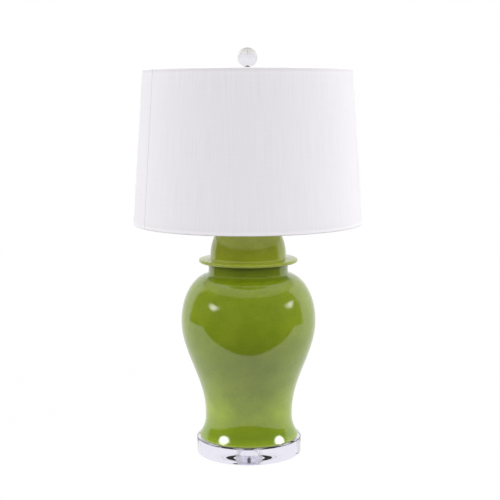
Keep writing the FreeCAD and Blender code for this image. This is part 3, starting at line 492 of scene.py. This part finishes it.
def jar_side(inset, steps_flare=18, steps_swell=46, steps_shoulder=34):
    """From the foot up to the neck; inset is how far the line runs inside the glaze."""
    points = []
    for k in range(steps_flare):
        share = k / steps_flare
        height = FOOT_EDGE + (WAIST_AT - FOOT_EDGE) * share
        points.append((flare_radius(share) - inset, JAR_BOTTOM + height))
    for k in range(steps_swell):
        share = k / steps_swell
        height = WAIST_AT + (BELLY_AT - WAIST_AT) * share
        points.append((swell_radius(share) - inset, JAR_BOTTOM + height))
    half_width = BELLY - SHOULDER_MIDDLE - inset
    half_height = SHOULDER_RISE - inset
    last = math.acos((NECK - SHOULDER_MIDDLE - inset) / half_width)
    for k in range(steps_shoulder + 1):
        angle = last * k / steps_shoulder
        height = BELLY_AT + half_height * math.sin(angle)
        points.append((SHOULDER_MIDDLE + half_width * math.cos(angle), JAR_BOTTOM + height))
    return points


def jar_outline():
    """Under the foot, up the outside, over the rim and down the inside."""
    inside = [p for p in jar_side(WALL) if p[1] > FLOOR_TOP + 2]
    corners = [(RECESS, JAR_BOTTOM, 0.6), (FOOT - 0.6, JAR_BOTTOM, 1.2)]
    side = [p for p in jar_side(0) if p[0] > NECK + NECK_FILLET]
    corners += plain(side) + [(NECK, JAR_BOTTOM + BELLY_AT + SHOULDER_RISE - 0.3, NECK_FILLET)]
    corners += [(NECK, JAR_RIM - 6, 0), (NECK, JAR_RIM, 1.5), (NECK - WALL, JAR_RIM, 1.5)]
    corners += plain(inside[::-1])
    corners += [(inside[0][0], FLOOR_TOP, 1.5), (PIPE_HOLE, FLOOR_TOP, 0.3)]
    corners += [(PIPE_HOLE, JAR_BOTTOM + RECESS_DEEP, 0.3)]
    corners += [(RECESS, JAR_BOTTOM + RECESS_DEEP, 0)]
    return rounded(corners)


def hand_wobble(angle, radius, height):
    """A slow unevenness of the potter's hand, in millimetres."""
    spot = Vector((math.sin(angle) * 1.3, math.cos(angle) * 1.3, height / 70))
    return WOBBLE * noise.noise(spot)


print("jar outline", len(jar_outline()), "points")

# %% [markdown]
# The cord leaves through a hole at the back, just above the foot. The hole is drilled
# with a boolean, the Blender tool that cuts one solid with another, and the result is
# kept as a plain mesh.

# %% Turn the jar and drill it
INLET_HEIGHT = 58.0
INLET_HOLE = 5.5
INLET_SPAN = (72.0, 108.0)         # the drill's way through the wall at the back


def drill(piece, radius, span, height, steps=48):
    """Cuts a round hole through a piece, along the back-to-front direction."""
    start, end = span
    bit = bmesh.new()
    bmesh.ops.create_cone(bit, cap_ends=True, segments=steps, radius1=radius * MM,
                          radius2=radius * MM, depth=(end - start) * MM)
    bmesh.ops.rotate(bit, verts=bit.verts, matrix=Euler((math.pi / 2, 0, 0)).to_matrix())
    middle = Vector((0, (start + end) / 2 * MM, height * MM))
    bmesh.ops.translate(bit, verts=bit.verts, vec=middle)
    tool_mesh = bpy.data.meshes.new("drill_bit")
    bit.to_mesh(tool_mesh)
    bit.free()
    tool = bpy.data.objects.new("drill_bit", tool_mesh)
    bpy.context.scene.collection.objects.link(tool)
    cut = piece.modifiers.new("hole", "BOOLEAN")
    cut.operation = "DIFFERENCE"
    cut.object = tool
    evaluated = piece.evaluated_get(bpy.context.evaluated_depsgraph_get())
    drilled = bpy.data.meshes.new_from_object(evaluated)
    piece.modifiers.clear()
    piece.data = drilled
    bpy.data.objects.remove(tool)


jar = turned("glazed_jar", jar_outline(), even_angles(288), nudge=hand_wobble)
drill(jar, INLET_HOLE, INLET_SPAN, INLET_HEIGHT)
smooth(jar)
print("jar", len(jar.data.vertices), "points after drilling")

# %% [markdown]
# The lid is a dome on a wide flange. On the real one the glaze runs off the sharp rim,
# where it is thin and pale, and gathers in the corner between flange and dome, where it
# is thick and dark. The corner is softened here for the same reason: glaze fills it. The
# paler rim band also carries a painted highlight, and the darker corner band painted shade.

# %% Turn the lid
LID_BOTTOM = 392.3
RIM_THICK = 5.6
FLANGE = 99.4
DOME_FOOT = 400.1
DOME = 76.6
DOME_RISE = 96.6
DOME_FLAT = 26.0                   # radius of the flat on top, under the metal cap
DOME_STARTS = math.radians(2.6)    # angle where it leaves the softened corner
FLANGE_BEND = 12.0                 # how far in from the rim the flange gets steeper
FLANGE_RISE = 0.95
SKIRT_OUT = 72.5
SKIRT_IN = 68.0
SKIRT_BOTTOM = 380.3


def dome_side(half_width, half_height, first, steps=30):
    """A quarter of an ellipse, from an angle up to the flat on top."""
    last = math.acos(DOME_FLAT / half_width)
    points = []
    for k in range(steps + 1):
        angle = first + (last - first) * k / steps
        points.append((half_width * math.cos(angle), DOME_FOOT + half_height * math.sin(angle)))
    return points


def lid_outline():
    """Skirt, flange, dome and the hollow under it."""
    outer = dome_side(DOME, DOME_RISE, DOME_STARTS)
    inner = dome_side(SKIRT_IN, DOME_RISE - WALL, 0.0)
    top = outer[-1][1]
    under = inner[-1][1]
    corners = [(SKIRT_OUT, SKIRT_BOTTOM, 0.8), (SKIRT_OUT, LID_BOTTOM, 0.6)]
    corners += [(FLANGE, LID_BOTTOM, 2.6), (FLANGE, LID_BOTTOM + RIM_THICK, 2.6)]
    corners += [(FLANGE - FLANGE_BEND, LID_BOTTOM + RIM_THICK + FLANGE_RISE, 0)]
    corners += [(DOME, DOME_FOOT - 0.05, 3.6)]
    corners += plain(outer) + [(PIPE_HOLE, top, 0.5), (PIPE_HOLE, under, 0.5)]
    corners += plain(inner[::-1]) + [(SKIRT_IN, SKIRT_BOTTOM, 0.8)]
    return rounded(corners)


lid = turned("glazed_lid", lid_outline(), even_angles(288), nudge=hand_wobble)
smooth(lid)
print("lid", len(lid.data.vertices), "points")

# %% [markdown]
# ## The glaze
#
# A lime glaze isn't one colour. It is glass over pale clay: it carries tiny dark specks
# of iron, it is crazed with hair-fine cracks, and it is paler where it is thin on an edge,
# on the lid's rim with a painted highlight too. It is darker in a wide band of painted
# shade over the jar's foot and waist, and in the lid's corner, where glaze gathered, with
# painted shade as well. The lid gets a paler, yellower copy of the glaze: painted light,
# for the light that the inside of the shade throws down on it. Each of these is a pattern
# at its own true size, so the scales below are counts in a metre. The gloss is a strong
# one, so the shader gets a high refractive index and low roughness.

# %% Lime glaze
LIME = (0.214, 0.283, 0.0102)
DEEP_LIME = (0.166, 0.235, 0.0056)
# painted light: the lid's paler, yellower lime is a lit copy of the jar's glaze
LID_LIME_PAINTED_LIGHT = (0.335, 0.39, 0.018)
LID_DEEP_LIME_PAINTED_LIGHT = (0.28, 0.335, 0.012)
# thin glaze on edges; on the lid's rim it is also a painted highlight
THIN_AND_LIT_LIME = (0.46, 0.54, 0.10)
# painted shade, and in the lid's corner pooled glaze with painted shade
POOLED_AND_SHADED_LIME = (0.085, 0.135, 0.005)
IRON = (0.085, 0.13, 0.006)
PALE_FLECK = (0.36, 0.46, 0.04)
CRAZED = (0.12, 0.17, 0.01)
GLAZE_INDEX = 1.72

CLOUD_SCALE = 24.0
SPECK_SCALE = 330.0
CLUSTER_SCALE = 170.0              # specks come in clusters
FLECK_SCALE = 520.0
CRACK_SCALE = 120.0
CRACK_BEND = 0.006                 # metres, how far the cracks wander
RAGGED_SCALE = 90.0
PEEL_SCALE = 55.0
PEEL_DEEP = 0.00012                # metres, the faint orange peel of a thick glaze


def speckled(finish, where, colour):
    """Dark specks of iron in clusters, and paler flecks all over."""
    specks = node(finish, "TexVoronoi", Scale=SPECK_SCALE, Randomness=1.0)
    join(finish, where, specks.inputs["Vector"])
    dot = spread(finish, specks.outputs["Distance"], 1.0, 0.0, 0.10, 0.30)
    some = spread(finish, grain(finish, where, CLUSTER_SCALE), 0.0, 1.0, 0.50, 0.62)
    colour = blend_colours(finish, maths(finish, "MULTIPLY", dot, some), colour, IRON)
    fleck = grain(finish, where, FLECK_SCALE, detail=1.0)
    fleck = spread(finish, fleck, 0.0, 0.30, 0.56, 0.72)
    return blend_colours(finish, fleck, colour, PALE_FLECK)


def crazed(finish, where, colour):
    """Cracks along the borders of cells, bent so that no line is straight."""
    wave = node(finish, "TexNoise", Scale=60.0, Detail=2.0)
    join(finish, where, wave.inputs["Vector"])
    shrink = node(finish, "VectorMath")
    shrink.operation = "SCALE"
    shrink.inputs["Scale"].default_value = CRACK_BEND
    join(finish, wave.outputs["Color"], shrink.inputs[0])
    bent = node(finish, "VectorMath")
    bent.operation = "ADD"
    join(finish, where, bent.inputs[0])
    join(finish, shrink.outputs["Vector"], bent.inputs[1])
    cracks = node(finish, "TexVoronoi", Scale=CRACK_SCALE, Randomness=0.9)
    cracks.feature = "DISTANCE_TO_EDGE"
    join(finish, bent.outputs["Vector"], cracks.inputs["Vector"])
    hair = spread(finish, cracks.outputs["Distance"], 0.22, 0.0, 0.0, 0.03)
    return blend_colours(finish, hair, colour, CRAZED)


def glaze(name, lime, deep, thin_and_lit, pool_and_shade, pool_and_shade_depth):
    """Bands (height, reach) in mm: thin glaze with painted highlight, pool with painted shade."""
    finish, shader = start_finish(name, lime, roughness=0.09, IOR=GLAZE_INDEX)
    where = place(finish)
    cloud = grain(finish, where, CLOUD_SCALE, detail=3.0)
    colour = ramp(finish, cloud, (0.32, deep), (0.68, lime))
    colour = speckled(finish, where, colour)
    colour = crazed(finish, where, colour)

    axes = node(finish, "SeparateXYZ")
    join(finish, where, axes.inputs[0])
    height = axes.outputs["Z"]
    # paler band: thin glaze on an edge, with a painted highlight on the lid's rim
    thin_and_lit_edge = band(finish, height, thin_and_lit[0] * MM, thin_and_lit[1] * MM)
    ragged = spread(finish, grain(finish, where, RAGGED_SCALE), 0.75, 1.0)
    thin_and_lit_edge = maths(finish, "MULTIPLY", thin_and_lit_edge, ragged)
    colour = blend_colours(finish, thin_and_lit_edge, colour, THIN_AND_LIT_LIME)
    # darker band: painted shade low on the jar; pooled glaze with painted shade in the lid's
    # corner
    pooled_and_shaded = band(finish, height, pool_and_shade[0] * MM, pool_and_shade[1] * MM)
    pooled_and_shaded = maths(finish, "MULTIPLY", pooled_and_shaded, pool_and_shade_depth)
    colour = blend_colours(finish, pooled_and_shaded, colour, POOLED_AND_SHADED_LIME)
    join(finish, colour, shader.inputs["Base Color"])

    join(finish, spread(finish, cloud, 0.05, 0.13), shader.inputs["Roughness"])
    peel = grain(finish, where, PEEL_SCALE, detail=1.0)
    raise_surface(finish, shader, peel, PEEL_DEEP)
    return finish


# the jar's wide darker band over its foot and waist is painted shade
jar_glaze = glaze("lime_glaze_jar", LIME, DEEP_LIME,
                  thin_and_lit=(36.6, 2.2), pool_and_shade=(50.0, 42.0), pool_and_shade_depth=0.78)
# the lid's colours are painted light, for the light that the shade's inside throws on it
lid_glaze_painted_light = glaze("lime_glaze_lid_painted_light", LID_LIME_PAINTED_LIGHT, LID_DEEP_LIME_PAINTED_LIGHT,
                  thin_and_lit=(394.4, 3.0), pool_and_shade=(399.9, 1.8), pool_and_shade_depth=0.35)
stands_for(jar, "lamp_base", "green_glaze", jar_glaze, "jar_body")
stands_for(lid, "lamp_base", "green_glaze", lid_glaze_painted_light, "jar_lid")

# %% [markdown]
# ## The clear base
#
# A thick disc of clear acrylic is turned and polished, bored for the rod and opened out
# below for its nut. The bore is milled, so its wall is slightly frosted by tool marks,
# while the rim is polished. Acrylic bends light a little less than glass: its index is
# 1.49. A breath of lavender in its colour is what the thick block shows.

# %% Turn the acrylic disc
BASE = 106.3
BASE_LOW = 1.5
BASE_HIGH = 33.0
NUT_BORE = 18.5
NUT_LEDGE = 26.0
MILLED = 0.22                      # roughness that the milling cutter leaves in the bore
MILLED_WITHIN = NUT_BORE * MM + 0.0008
POLISHED_BEYOND = NUT_BORE * MM + 0.0012


def acrylic_outline():
    """The disc with the rod's hole on top and the wider bore below."""
    corners = [
        (NUT_BORE, BASE_LOW, 0.4),
        (BASE, BASE_LOW, 1.2),
        (BASE, BASE_HIGH, 1.2),
        (PIPE_HOLE, BASE_HIGH, 0.3),
        (PIPE_HOLE, NUT_LEDGE, 0.3),
        (NUT_BORE, NUT_LEDGE, 0.4),
    ]
    return rounded(corners)


def acrylic_finish():
    """Polished, but frosted in the bore; colour and gloss vary by a trace."""
    finish, shader = start_finish("clear_acrylic", (0.965, 0.955, 0.985), roughness=0.0,
                                  IOR=1.49, Transmission_Weight=1.0)
    where = place(finish)
    rub = grain(finish, where, 35.0, detail=4.0)
    axes = node(finish, "SeparateXYZ")
    join(finish, where, axes.inputs[0])
    out = level_distance(finish, axes.outputs["X"], axes.outputs["Y"])
    milled = spread(finish, out, MILLED, 0.0, MILLED_WITHIN, POLISHED_BEYOND)
    polish = spread(finish, rub, 0.0, 0.012, 0.45, 0.8)
    join(finish, maths(finish, "ADD", polish, milled), shader.inputs["Roughness"])
    tint = ramp(finish, rub, (0.3, (0.80, 0.785, 0.885)), (0.7, (0.83, 0.815, 0.905)))
    join(finish, tint, shader.inputs["Base Color"])
    return finish


disc = turned("acrylic_disc", acrylic_outline(), even_angles(256))
smooth(disc)
stands_for(disc, "lamp_base", "clear_acrylic", acrylic_finish(), "acrylic_base")

# %% [markdown]
# ## The crystal ball
#
# The finial's ball is ground from lead crystal and glued on a metal peg. A solid ball
# turns what is behind it upside down, so only a true sphere with a true bore gives the
# picture that belongs in it.

# %% Turn the crystal ball
BALL = 19.5
BALL_SEAT = 779.065                # height of the small flat that sits on the metal foot
SEAT = 7.0
BALL_MIDDLE = BALL_SEAT + math.sqrt(BALL ** 2 - SEAT ** 2)
PEG_BORE = 2.45
PEG_TOP = BALL_SEAT + 6.3


def ball_outline(steps=56):
    """The peg's bore, the flat and then the sphere up to its top; the axis closes it."""
    first = math.asin((BALL_SEAT - BALL_MIDDLE) / BALL)
    points = [Vector((0, PEG_TOP)), Vector((PEG_BORE, PEG_TOP)), Vector((PEG_BORE, BALL_SEAT))]
    for k in range(steps + 1):
        angle = first + (math.pi / 2 - first) * k / steps
        points.append(Vector((BALL * math.cos(angle), BALL_MIDDLE + BALL * math.sin(angle))))
    points[-1].x = 0
    return points


def crystal_finish():
    """Clear, with a trace of dust on it."""
    finish, shader = start_finish("crystal", (0.985, 0.975, 0.995), roughness=0.0,
                                  IOR=1.52, Transmission_Weight=1.0)
    where = place(finish)
    dust = grain(finish, where, 160.0, detail=3.0)
    join(finish, spread(finish, dust, 0.0, 0.01, 0.5, 0.8), shader.inputs["Roughness"])
    tint = ramp(finish, dust, (0.35, (0.80, 0.785, 0.85)), (0.7, (0.84, 0.83, 0.885)))
    join(finish, tint, shader.inputs["Base Color"])
    return finish


ball = turned("crystal_ball", ball_outline(), even_angles(128), closed=False)
smooth(ball)
stands_for(ball, "finial", "crystal", crystal_finish(), "finial_ball")

# %% [markdown]
# ## The shade
#
# The shade is linen glued to a stiff white sheet, rolled into a cone and closed with a
# lapped seam. At both ends the cloth is rolled round a wire ring. Its outline is written
# in the cloth's own directions: how far up the slant, and how deep under the face. The
# seam is a real step: one edge of the cloth lies on the other.

# %% Outline of the linen
SHADE_LOW = 228.6
SHADE_TOP = 206.0
SHADE_HEIGHT = 302.2
SHADE_FOOT = 470.965
LEAN = SHADE_LOW - SHADE_TOP
SLANT = math.hypot(LEAN, SHADE_HEIGHT)
CLOTH = 0.5
SHEET = 0.8
POCKET = 2.7                       # room for the ring's wire
HEM = 9.0
HEM_DIP = [(3.4, 0.0, 0), (5.2, 0.35, 0), (9.0, 0.15, 0)]  # along, depth, rounding


def wall_point(along, depth):
    """Radius and height of a spot up the slant and under the face."""
    radius = SHADE_LOW - LEAN / SLANT * along - SHADE_HEIGHT / SLANT * depth
    return (radius, SHADE_FOOT + SHADE_HEIGHT / SLANT * along - LEAN / SLANT * depth)


def hem_corners():
    """The rolled hem, from the edge down its inside and back, with soft bends."""
    inside = CLOTH + SHEET
    return [
        (0, inside + POCKET + CLOTH, 1.4),
        (CLOTH + POCKET, inside + POCKET + CLOTH, 1.2),
        (HEM, inside + CLOTH, 0.2),
        (HEM, inside, 0.2),
        (CLOTH + POCKET, inside + POCKET, 0.7),
        (CLOTH, inside + POCKET, 0.9),
        (CLOTH, CLOTH, 0.9),
    ]


def from_top(corners):
    """The same corners, measured down from the shade's top edge."""
    return [(SLANT - along, depth, bend) for along, depth, bend in corners]


def linen_outline(rows=24):
    """Up the face, which dips a little beside each hem, and back through both hems."""
    face = HEM_DIP + [(SLANT * k / rows, 0.0, 0) for k in range(1, rows)]
    face += from_top(HEM_DIP[::-1])
    laid = [(0, 0, 1.4)] + face + [(SLANT, 0, 1.4)]
    laid += from_top(hem_corners())
    laid += hem_corners()[::-1]
    return rounded([(*wall_point(along, depth), bend) for along, depth, bend in laid])


print("linen outline", len(linen_outline()), "points")

# %% Roll the linen and its lap
SEAM_AT = math.radians(-59.6)      # to the left of the camera's side
LAP_WIDTH = 10.0                   # mm
LAP_STEP = 0.55
LAP_FADE = 2.5                     # lap widths over which its step dies away
LAP_EDGE = 0.0009                  # angle that the crisp edge takes up
CLOTH_WAVE = 0.25


def linen_angles(steps=480):
    """Even steps, with two close ones at the seam so that the lap has a crisp edge."""
    even = even_angles(steps, SEAM_AT)
    return [even[0], even[0] + LAP_EDGE] + even[1:]


def slow_wave(angle, radius, height):
    """Glued cloth and sheet are only nearly flat: this is their unevenness, in millimetres."""
    spot = Vector((math.sin(angle) * 3, math.cos(angle) * 3, height / 150))
    return CLOTH_WAVE * noise.noise(spot)


def linen_nudge(angle, radius, height):
    """The lap stands on the cloth beside it, on top of the slow wave."""
    share = (angle - SEAM_AT) * radius / LAP_WIDTH
    lap = 0.0
    if share > 0.0001:
        lap = LAP_STEP * (1 - max(0.0, min(1.0, (share - 1) / LAP_FADE)))
    return lap + slow_wave(angle, radius, height)


linen = turned("linen_cover", linen_outline(), linen_angles(), nudge=linen_nudge)
smooth(linen, sharp_above=30)
print("linen", len(linen.data.vertices), "points")

# %% [markdown]
# Linen yarn is uneven: some threads swell into slubs, and on this shade the thick ones
# run up and down. Three patterns make the cloth: long thin streaks for the slubs, short
# cross streaks for the weft, and a fine weave of threads a little over a millimetre
# apart. A little sheen stands for the fuzz that catches light at a grazing angle. Some
# daylight soaks through the thin cloth from the far side, and a faint glow stands for
# that.

# %% Linen finish
SOAKED_LIGHT = 0.06
LINEN = (0.862, 0.840, 0.878)
LINEN_SHADOW = (0.822, 0.800, 0.842)
LINEN_LIGHT = (0.888, 0.868, 0.900)
SLUBS = (480, 9, 1)                # streaks in a metre, around the shade and up it
WEFT = (14, 520, 1)
SLUB_SHARE = 0.80                  # the rest of the pattern is weft
WEAVE_SHARE = 0.45
THREAD_HIGH = 0.00014              # metres
LAP_SHADOW = (0.42, 0.40, 0.45)    # the thin dark line beside the lap's edge
LAP_SHADOW_DEEP = 0.85
LAP_SHADOW_AT = SEAM_AT * SHADE_LOW * MM + 0.0006
LAP_SHADOW_REACH = 0.0019          # metres


def threads(finish, direction, stretch):
    """Even ripples for the yarns that run one way."""
    yarns = node(finish, "TexWave", Scale=1.0, Distortion=1.2, Detail=2.0)
    yarns.bands_direction = direction
    join(finish, place(finish, stretch, "UV"), yarns.inputs["Vector"])
    return yarns.outputs["Fac"]


def linen_finish():
    """Slubs and weft in the colour, and the weave as well in the surface."""
    finish, shader = start_finish("white_linen", LINEN, roughness=0.88, Sheen_Weight=0.25,
                                  Sheen_Roughness=0.5, IOR=1.4)
    shader.inputs["Specular IOR Level"].default_value = 0.25
    shader.inputs["Emission Color"].default_value = (1.0, 0.98, 1.0, 1)
    shader.inputs["Emission Strength"].default_value = SOAKED_LIGHT

    slubs = grain(finish, place(finish, SLUBS, "UV"), 1.0, detail=4.0, roughness=0.7)
    weft = grain(finish, place(finish, WEFT, "UV"), 1.0, detail=3.0)
    slubs = maths(finish, "MULTIPLY", slubs, SLUB_SHARE)
    weft = maths(finish, "MULTIPLY", weft, 1 - SLUB_SHARE)
    yarn = maths(finish, "ADD", slubs, weft)
    colour = ramp(finish, yarn, (0.34, LINEN_SHADOW), (0.50, LINEN), (0.66, LINEN_LIGHT))

    laid = node(finish, "SeparateXYZ")
    join(finish, place(finish, source="UV"), laid.inputs[0])
    line = band(finish, laid.outputs["X"], LAP_SHADOW_AT, LAP_SHADOW_REACH)
    line = maths(finish, "MULTIPLY", line, LAP_SHADOW_DEEP)
    colour = blend_colours(finish, line, colour, LAP_SHADOW)
    join(finish, colour, shader.inputs["Base Color"])

    warp = threads(finish, "X", (230, 6, 1))
    across = threads(finish, "Y", (6, 230, 1))
    weave = maths(finish, "MULTIPLY", maths(finish, "MULTIPLY", warp, across), WEAVE_SHARE)
    raise_surface(finish, shader, maths(finish, "ADD", weave, yarn), THREAD_HIGH)
    return finish


stands_for(linen, "shade", "white_linen", linen_finish(), "shade_fabric")

# %% [markdown]
# Behind the linen is the stiff sheet. It is smooth white plastic, and it is what one sees
# when looking up into the shade, so it gets its own turned piece with the same slight
# waves as the cloth that is glued to it. Light soaks through it as well, and a faint warm
# glow is painted on it for that light, so the inside of the shade is never dark.

# %% Sheet behind the linen
# a painted glow: emission on the backing stands for light that soaks through the shade
INSIDE_PAINTED_GLOW = 0.15
GLUE_GAP = 0.02                    # mm, keeps the two faces apart


def sheet_face(depth, rows=12):
    """A line up the slant at one depth, one cloth's thickness short of both edges."""
    long = SLANT - 2 * CLOTH
    return [Vector(wall_point(CLOTH + long * k / rows, depth)) for k in range(rows + 1)]


def backing_finish():
    """Glossy in slow streaks, as rolled plastic is, with a painted glow for light soaking
    through.
    """
    finish, shader = start_finish("white_backing", (0.86, 0.85, 0.83), roughness=0.42)
    # painted light: the backing glows warm, though it is no lamp
    shader.inputs["Emission Color"].default_value = (1.0, 0.96, 0.86, 1)
    shader.inputs["Emission Strength"].default_value = INSIDE_PAINTED_GLOW
    flow = grain(finish, place(finish, (60, 5, 1), "UV"), 1.0, detail=3.0)
    colour = ramp(finish, flow, (0.3, (0.84, 0.83, 0.81)), (0.7, (0.88, 0.872, 0.855)))
    join(finish, colour, shader.inputs["Base Color"])
    join(finish, spread(finish, flow, 0.36, 0.50), shader.inputs["Roughness"])
    raise_surface(finish, shader, flow, 0.0002)
    return finish


sheet_outline = sheet_face(CLOTH + GLUE_GAP) + sheet_face(CLOTH + SHEET)[::-1]
backing = turned("shade_backing", sheet_outline, even_angles(240), nudge=slow_wave)
smooth(backing)
stands_for(backing, "shade", "white_backing", backing_finish(), "shade_panel")

# %% [markdown]
# ## Metal
#
# Plated parts are rarely mirror clean. Under the plating are fine lines left by the
# machine that made the part, and on top are fingermarks that dull it in patches. One
# recipe makes every metal here: its colour, how dull it is, and the direction in which
# its lines run.

# %% Metal finishes
WORN = 0.82                        # how dark the fingermarks are
LINE_DEEP = 0.00002                # metres


def metal(name, colour, dull, lines=(300, 300, 900)):
    """Patches of wear over fine tool lines, which run across the tightest direction."""
    finish, shader = start_finish(name, colour, roughness=dull, Metallic=1.0)
    marks = grain(finish, place(finish), 45.0, detail=4.0)
    worn = tuple(channel * WORN for channel in colour)
    join(finish, ramp(finish, marks, (0.3, worn), (0.62, colour)), shader.inputs["Base Color"])
    patches = spread(finish, marks, dull * 0.75, dull * 1.5, 0.3, 0.75)
    join(finish, patches, shader.inputs["Roughness"])
    fine = grain(finish, place(finish, lines), 1.0, detail=2.0)
    raise_surface(finish, shader, fine, LINE_DEEP)
    return finish


nickel = metal("nickel_plate", (0.70, 0.68, 0.65), 0.20)
zinc = metal("zinc_steel", (0.58, 0.58, 0.60), 0.34)
dark_steel = metal("dark_steel", (0.20, 0.20, 0.21), 0.38)
brass = metal("socket_brass", (0.80, 0.60, 0.26), 0.24, lines=(120, 120, 1500))
aluminium = metal("bulb_aluminium", (0.78, 0.78, 0.80), 0.28)
tungsten = metal("tungsten", (0.32, 0.31, 0.31), 0.45, lines=(3000, 3000, 3000))
solder = metal("bulb_solder", (0.55, 0.55, 0.57), 0.42)
metals = (nickel, zinc, dark_steel, brass, aluminium, tungsten, solder)
print("metals", [finish.name for finish in metals])

# %% [markdown]
# ## Plastic, rubber, felt, card and glass
#
# The small hidden parts deserve honest finishes too, because someone will take the lamp
# apart on screen. Moulded plastic has a faint pebble, felt is a mat of fibres, card has
# fibres that lie flat, and the bulb's glass is etched inside so that it spreads light.

# %% Moulded and fibrous finishes
def moulded(name, dark, light, dull, pebble=900.0, depth=0.00003, **sockets):
    """Two close tones in patches, over pebbles: so many in a metre, so many metres high."""
    finish, shader = start_finish(name, light, roughness=dull, **sockets)
    where = place(finish)
    tone = grain(finish, where, 70.0, detail=4.0)
    join(finish, ramp(finish, tone, (0.3, dark), (0.7, light)), shader.inputs["Base Color"])
    patches = spread(finish, tone, dull * 0.8, dull * 1.25, 0.3, 0.7)
    join(finish, patches, shader.inputs["Roughness"])
    raise_surface(finish, shader, grain(finish, where, pebble, detail=2.0), depth)
    return finish


felt = moulded("black_felt", (0.085, 0.082, 0.090), (0.165, 0.160, 0.172), 0.95,
               pebble=2600.0, depth=0.0004, Sheen_Weight=0.3)
black_plastic = moulded("black_plastic", (0.010, 0.010, 0.011), (0.022, 0.022, 0.023), 0.38)
phenolic = moulded("black_phenolic", (0.012, 0.010, 0.009), (0.030, 0.026, 0.024), 0.28)
card = moulded("liner_card", (0.36, 0.27, 0.17), (0.52, 0.41, 0.28), 0.85,
               pebble=1400.0, depth=0.00015)
wire_enamel = moulded("white_wire", (0.72, 0.72, 0.71), (0.82, 0.82, 0.81), 0.34,
                      pebble=400.0)
black_glass = moulded("black_glass", (0.006, 0.006, 0.008), (0.016, 0.016, 0.020), 0.12)
rubber = moulded("clear_rubber", (0.72, 0.72, 0.73), (0.86, 0.86, 0.86), 0.35,
                 pebble=500.0, Transmission_Weight=0.75, IOR=1.45)
frosted = moulded("frosted_glass", (0.86, 0.86, 0.85), (0.92, 0.92, 0.91), 0.30,
                  pebble=1200.0, depth=0.00004, Transmission_Weight=0.35, IOR=1.5)
stem_glass = moulded("clear_glass", (0.93, 0.94, 0.94), (0.97, 0.98, 0.98), 0.04,
                     pebble=200.0, Transmission_Weight=1.0, IOR=1.5)
print("moulded finishes ready")

# %% Give every other piece its finish
FINISHED = {
    rubber: ["base_bumpers", "lid_seal"],
    zinc: ["foot_washer", "lamp_pipe"],
    dark_steel: ["foot_nut", "socket_set_screw"],
    felt: ["foot_pad"],
    black_plastic: ["cord_bushing"],
    nickel: ["vase_cap", "cap_nut", "harp_saddle", "harp", "harp_ferrule_left",
             "harp_ferrule_right", "harp_stud", "socket_cap", "socket_shell", "finial_base",
             "spider_arms", "spider_hub"],
    brass: ["screw_shell", "centre_contact", "terminal_screws", "switch_shaft"],
    card: ["socket_liner"],
    phenolic: ["socket_body", "switch_bushing", "switch_knob"],
    frosted: ["bulb_glass"],
    aluminium: ["bulb_base"],
    black_glass: ["bulb_insulator"],
    solder: ["bulb_contact"],
    stem_glass: ["bulb_stem"],
    tungsten: ["bulb_filament"],
    wire_enamel: ["shade_top_ring", "shade_bottom_ring"],
}
for finish, names in FINISHED.items():
    for name in names:
        for held in nodes[name].material_slots:
            held.material = finish
print(sum(len(names) for names in FINISHED.values()), "pieces finished in place")
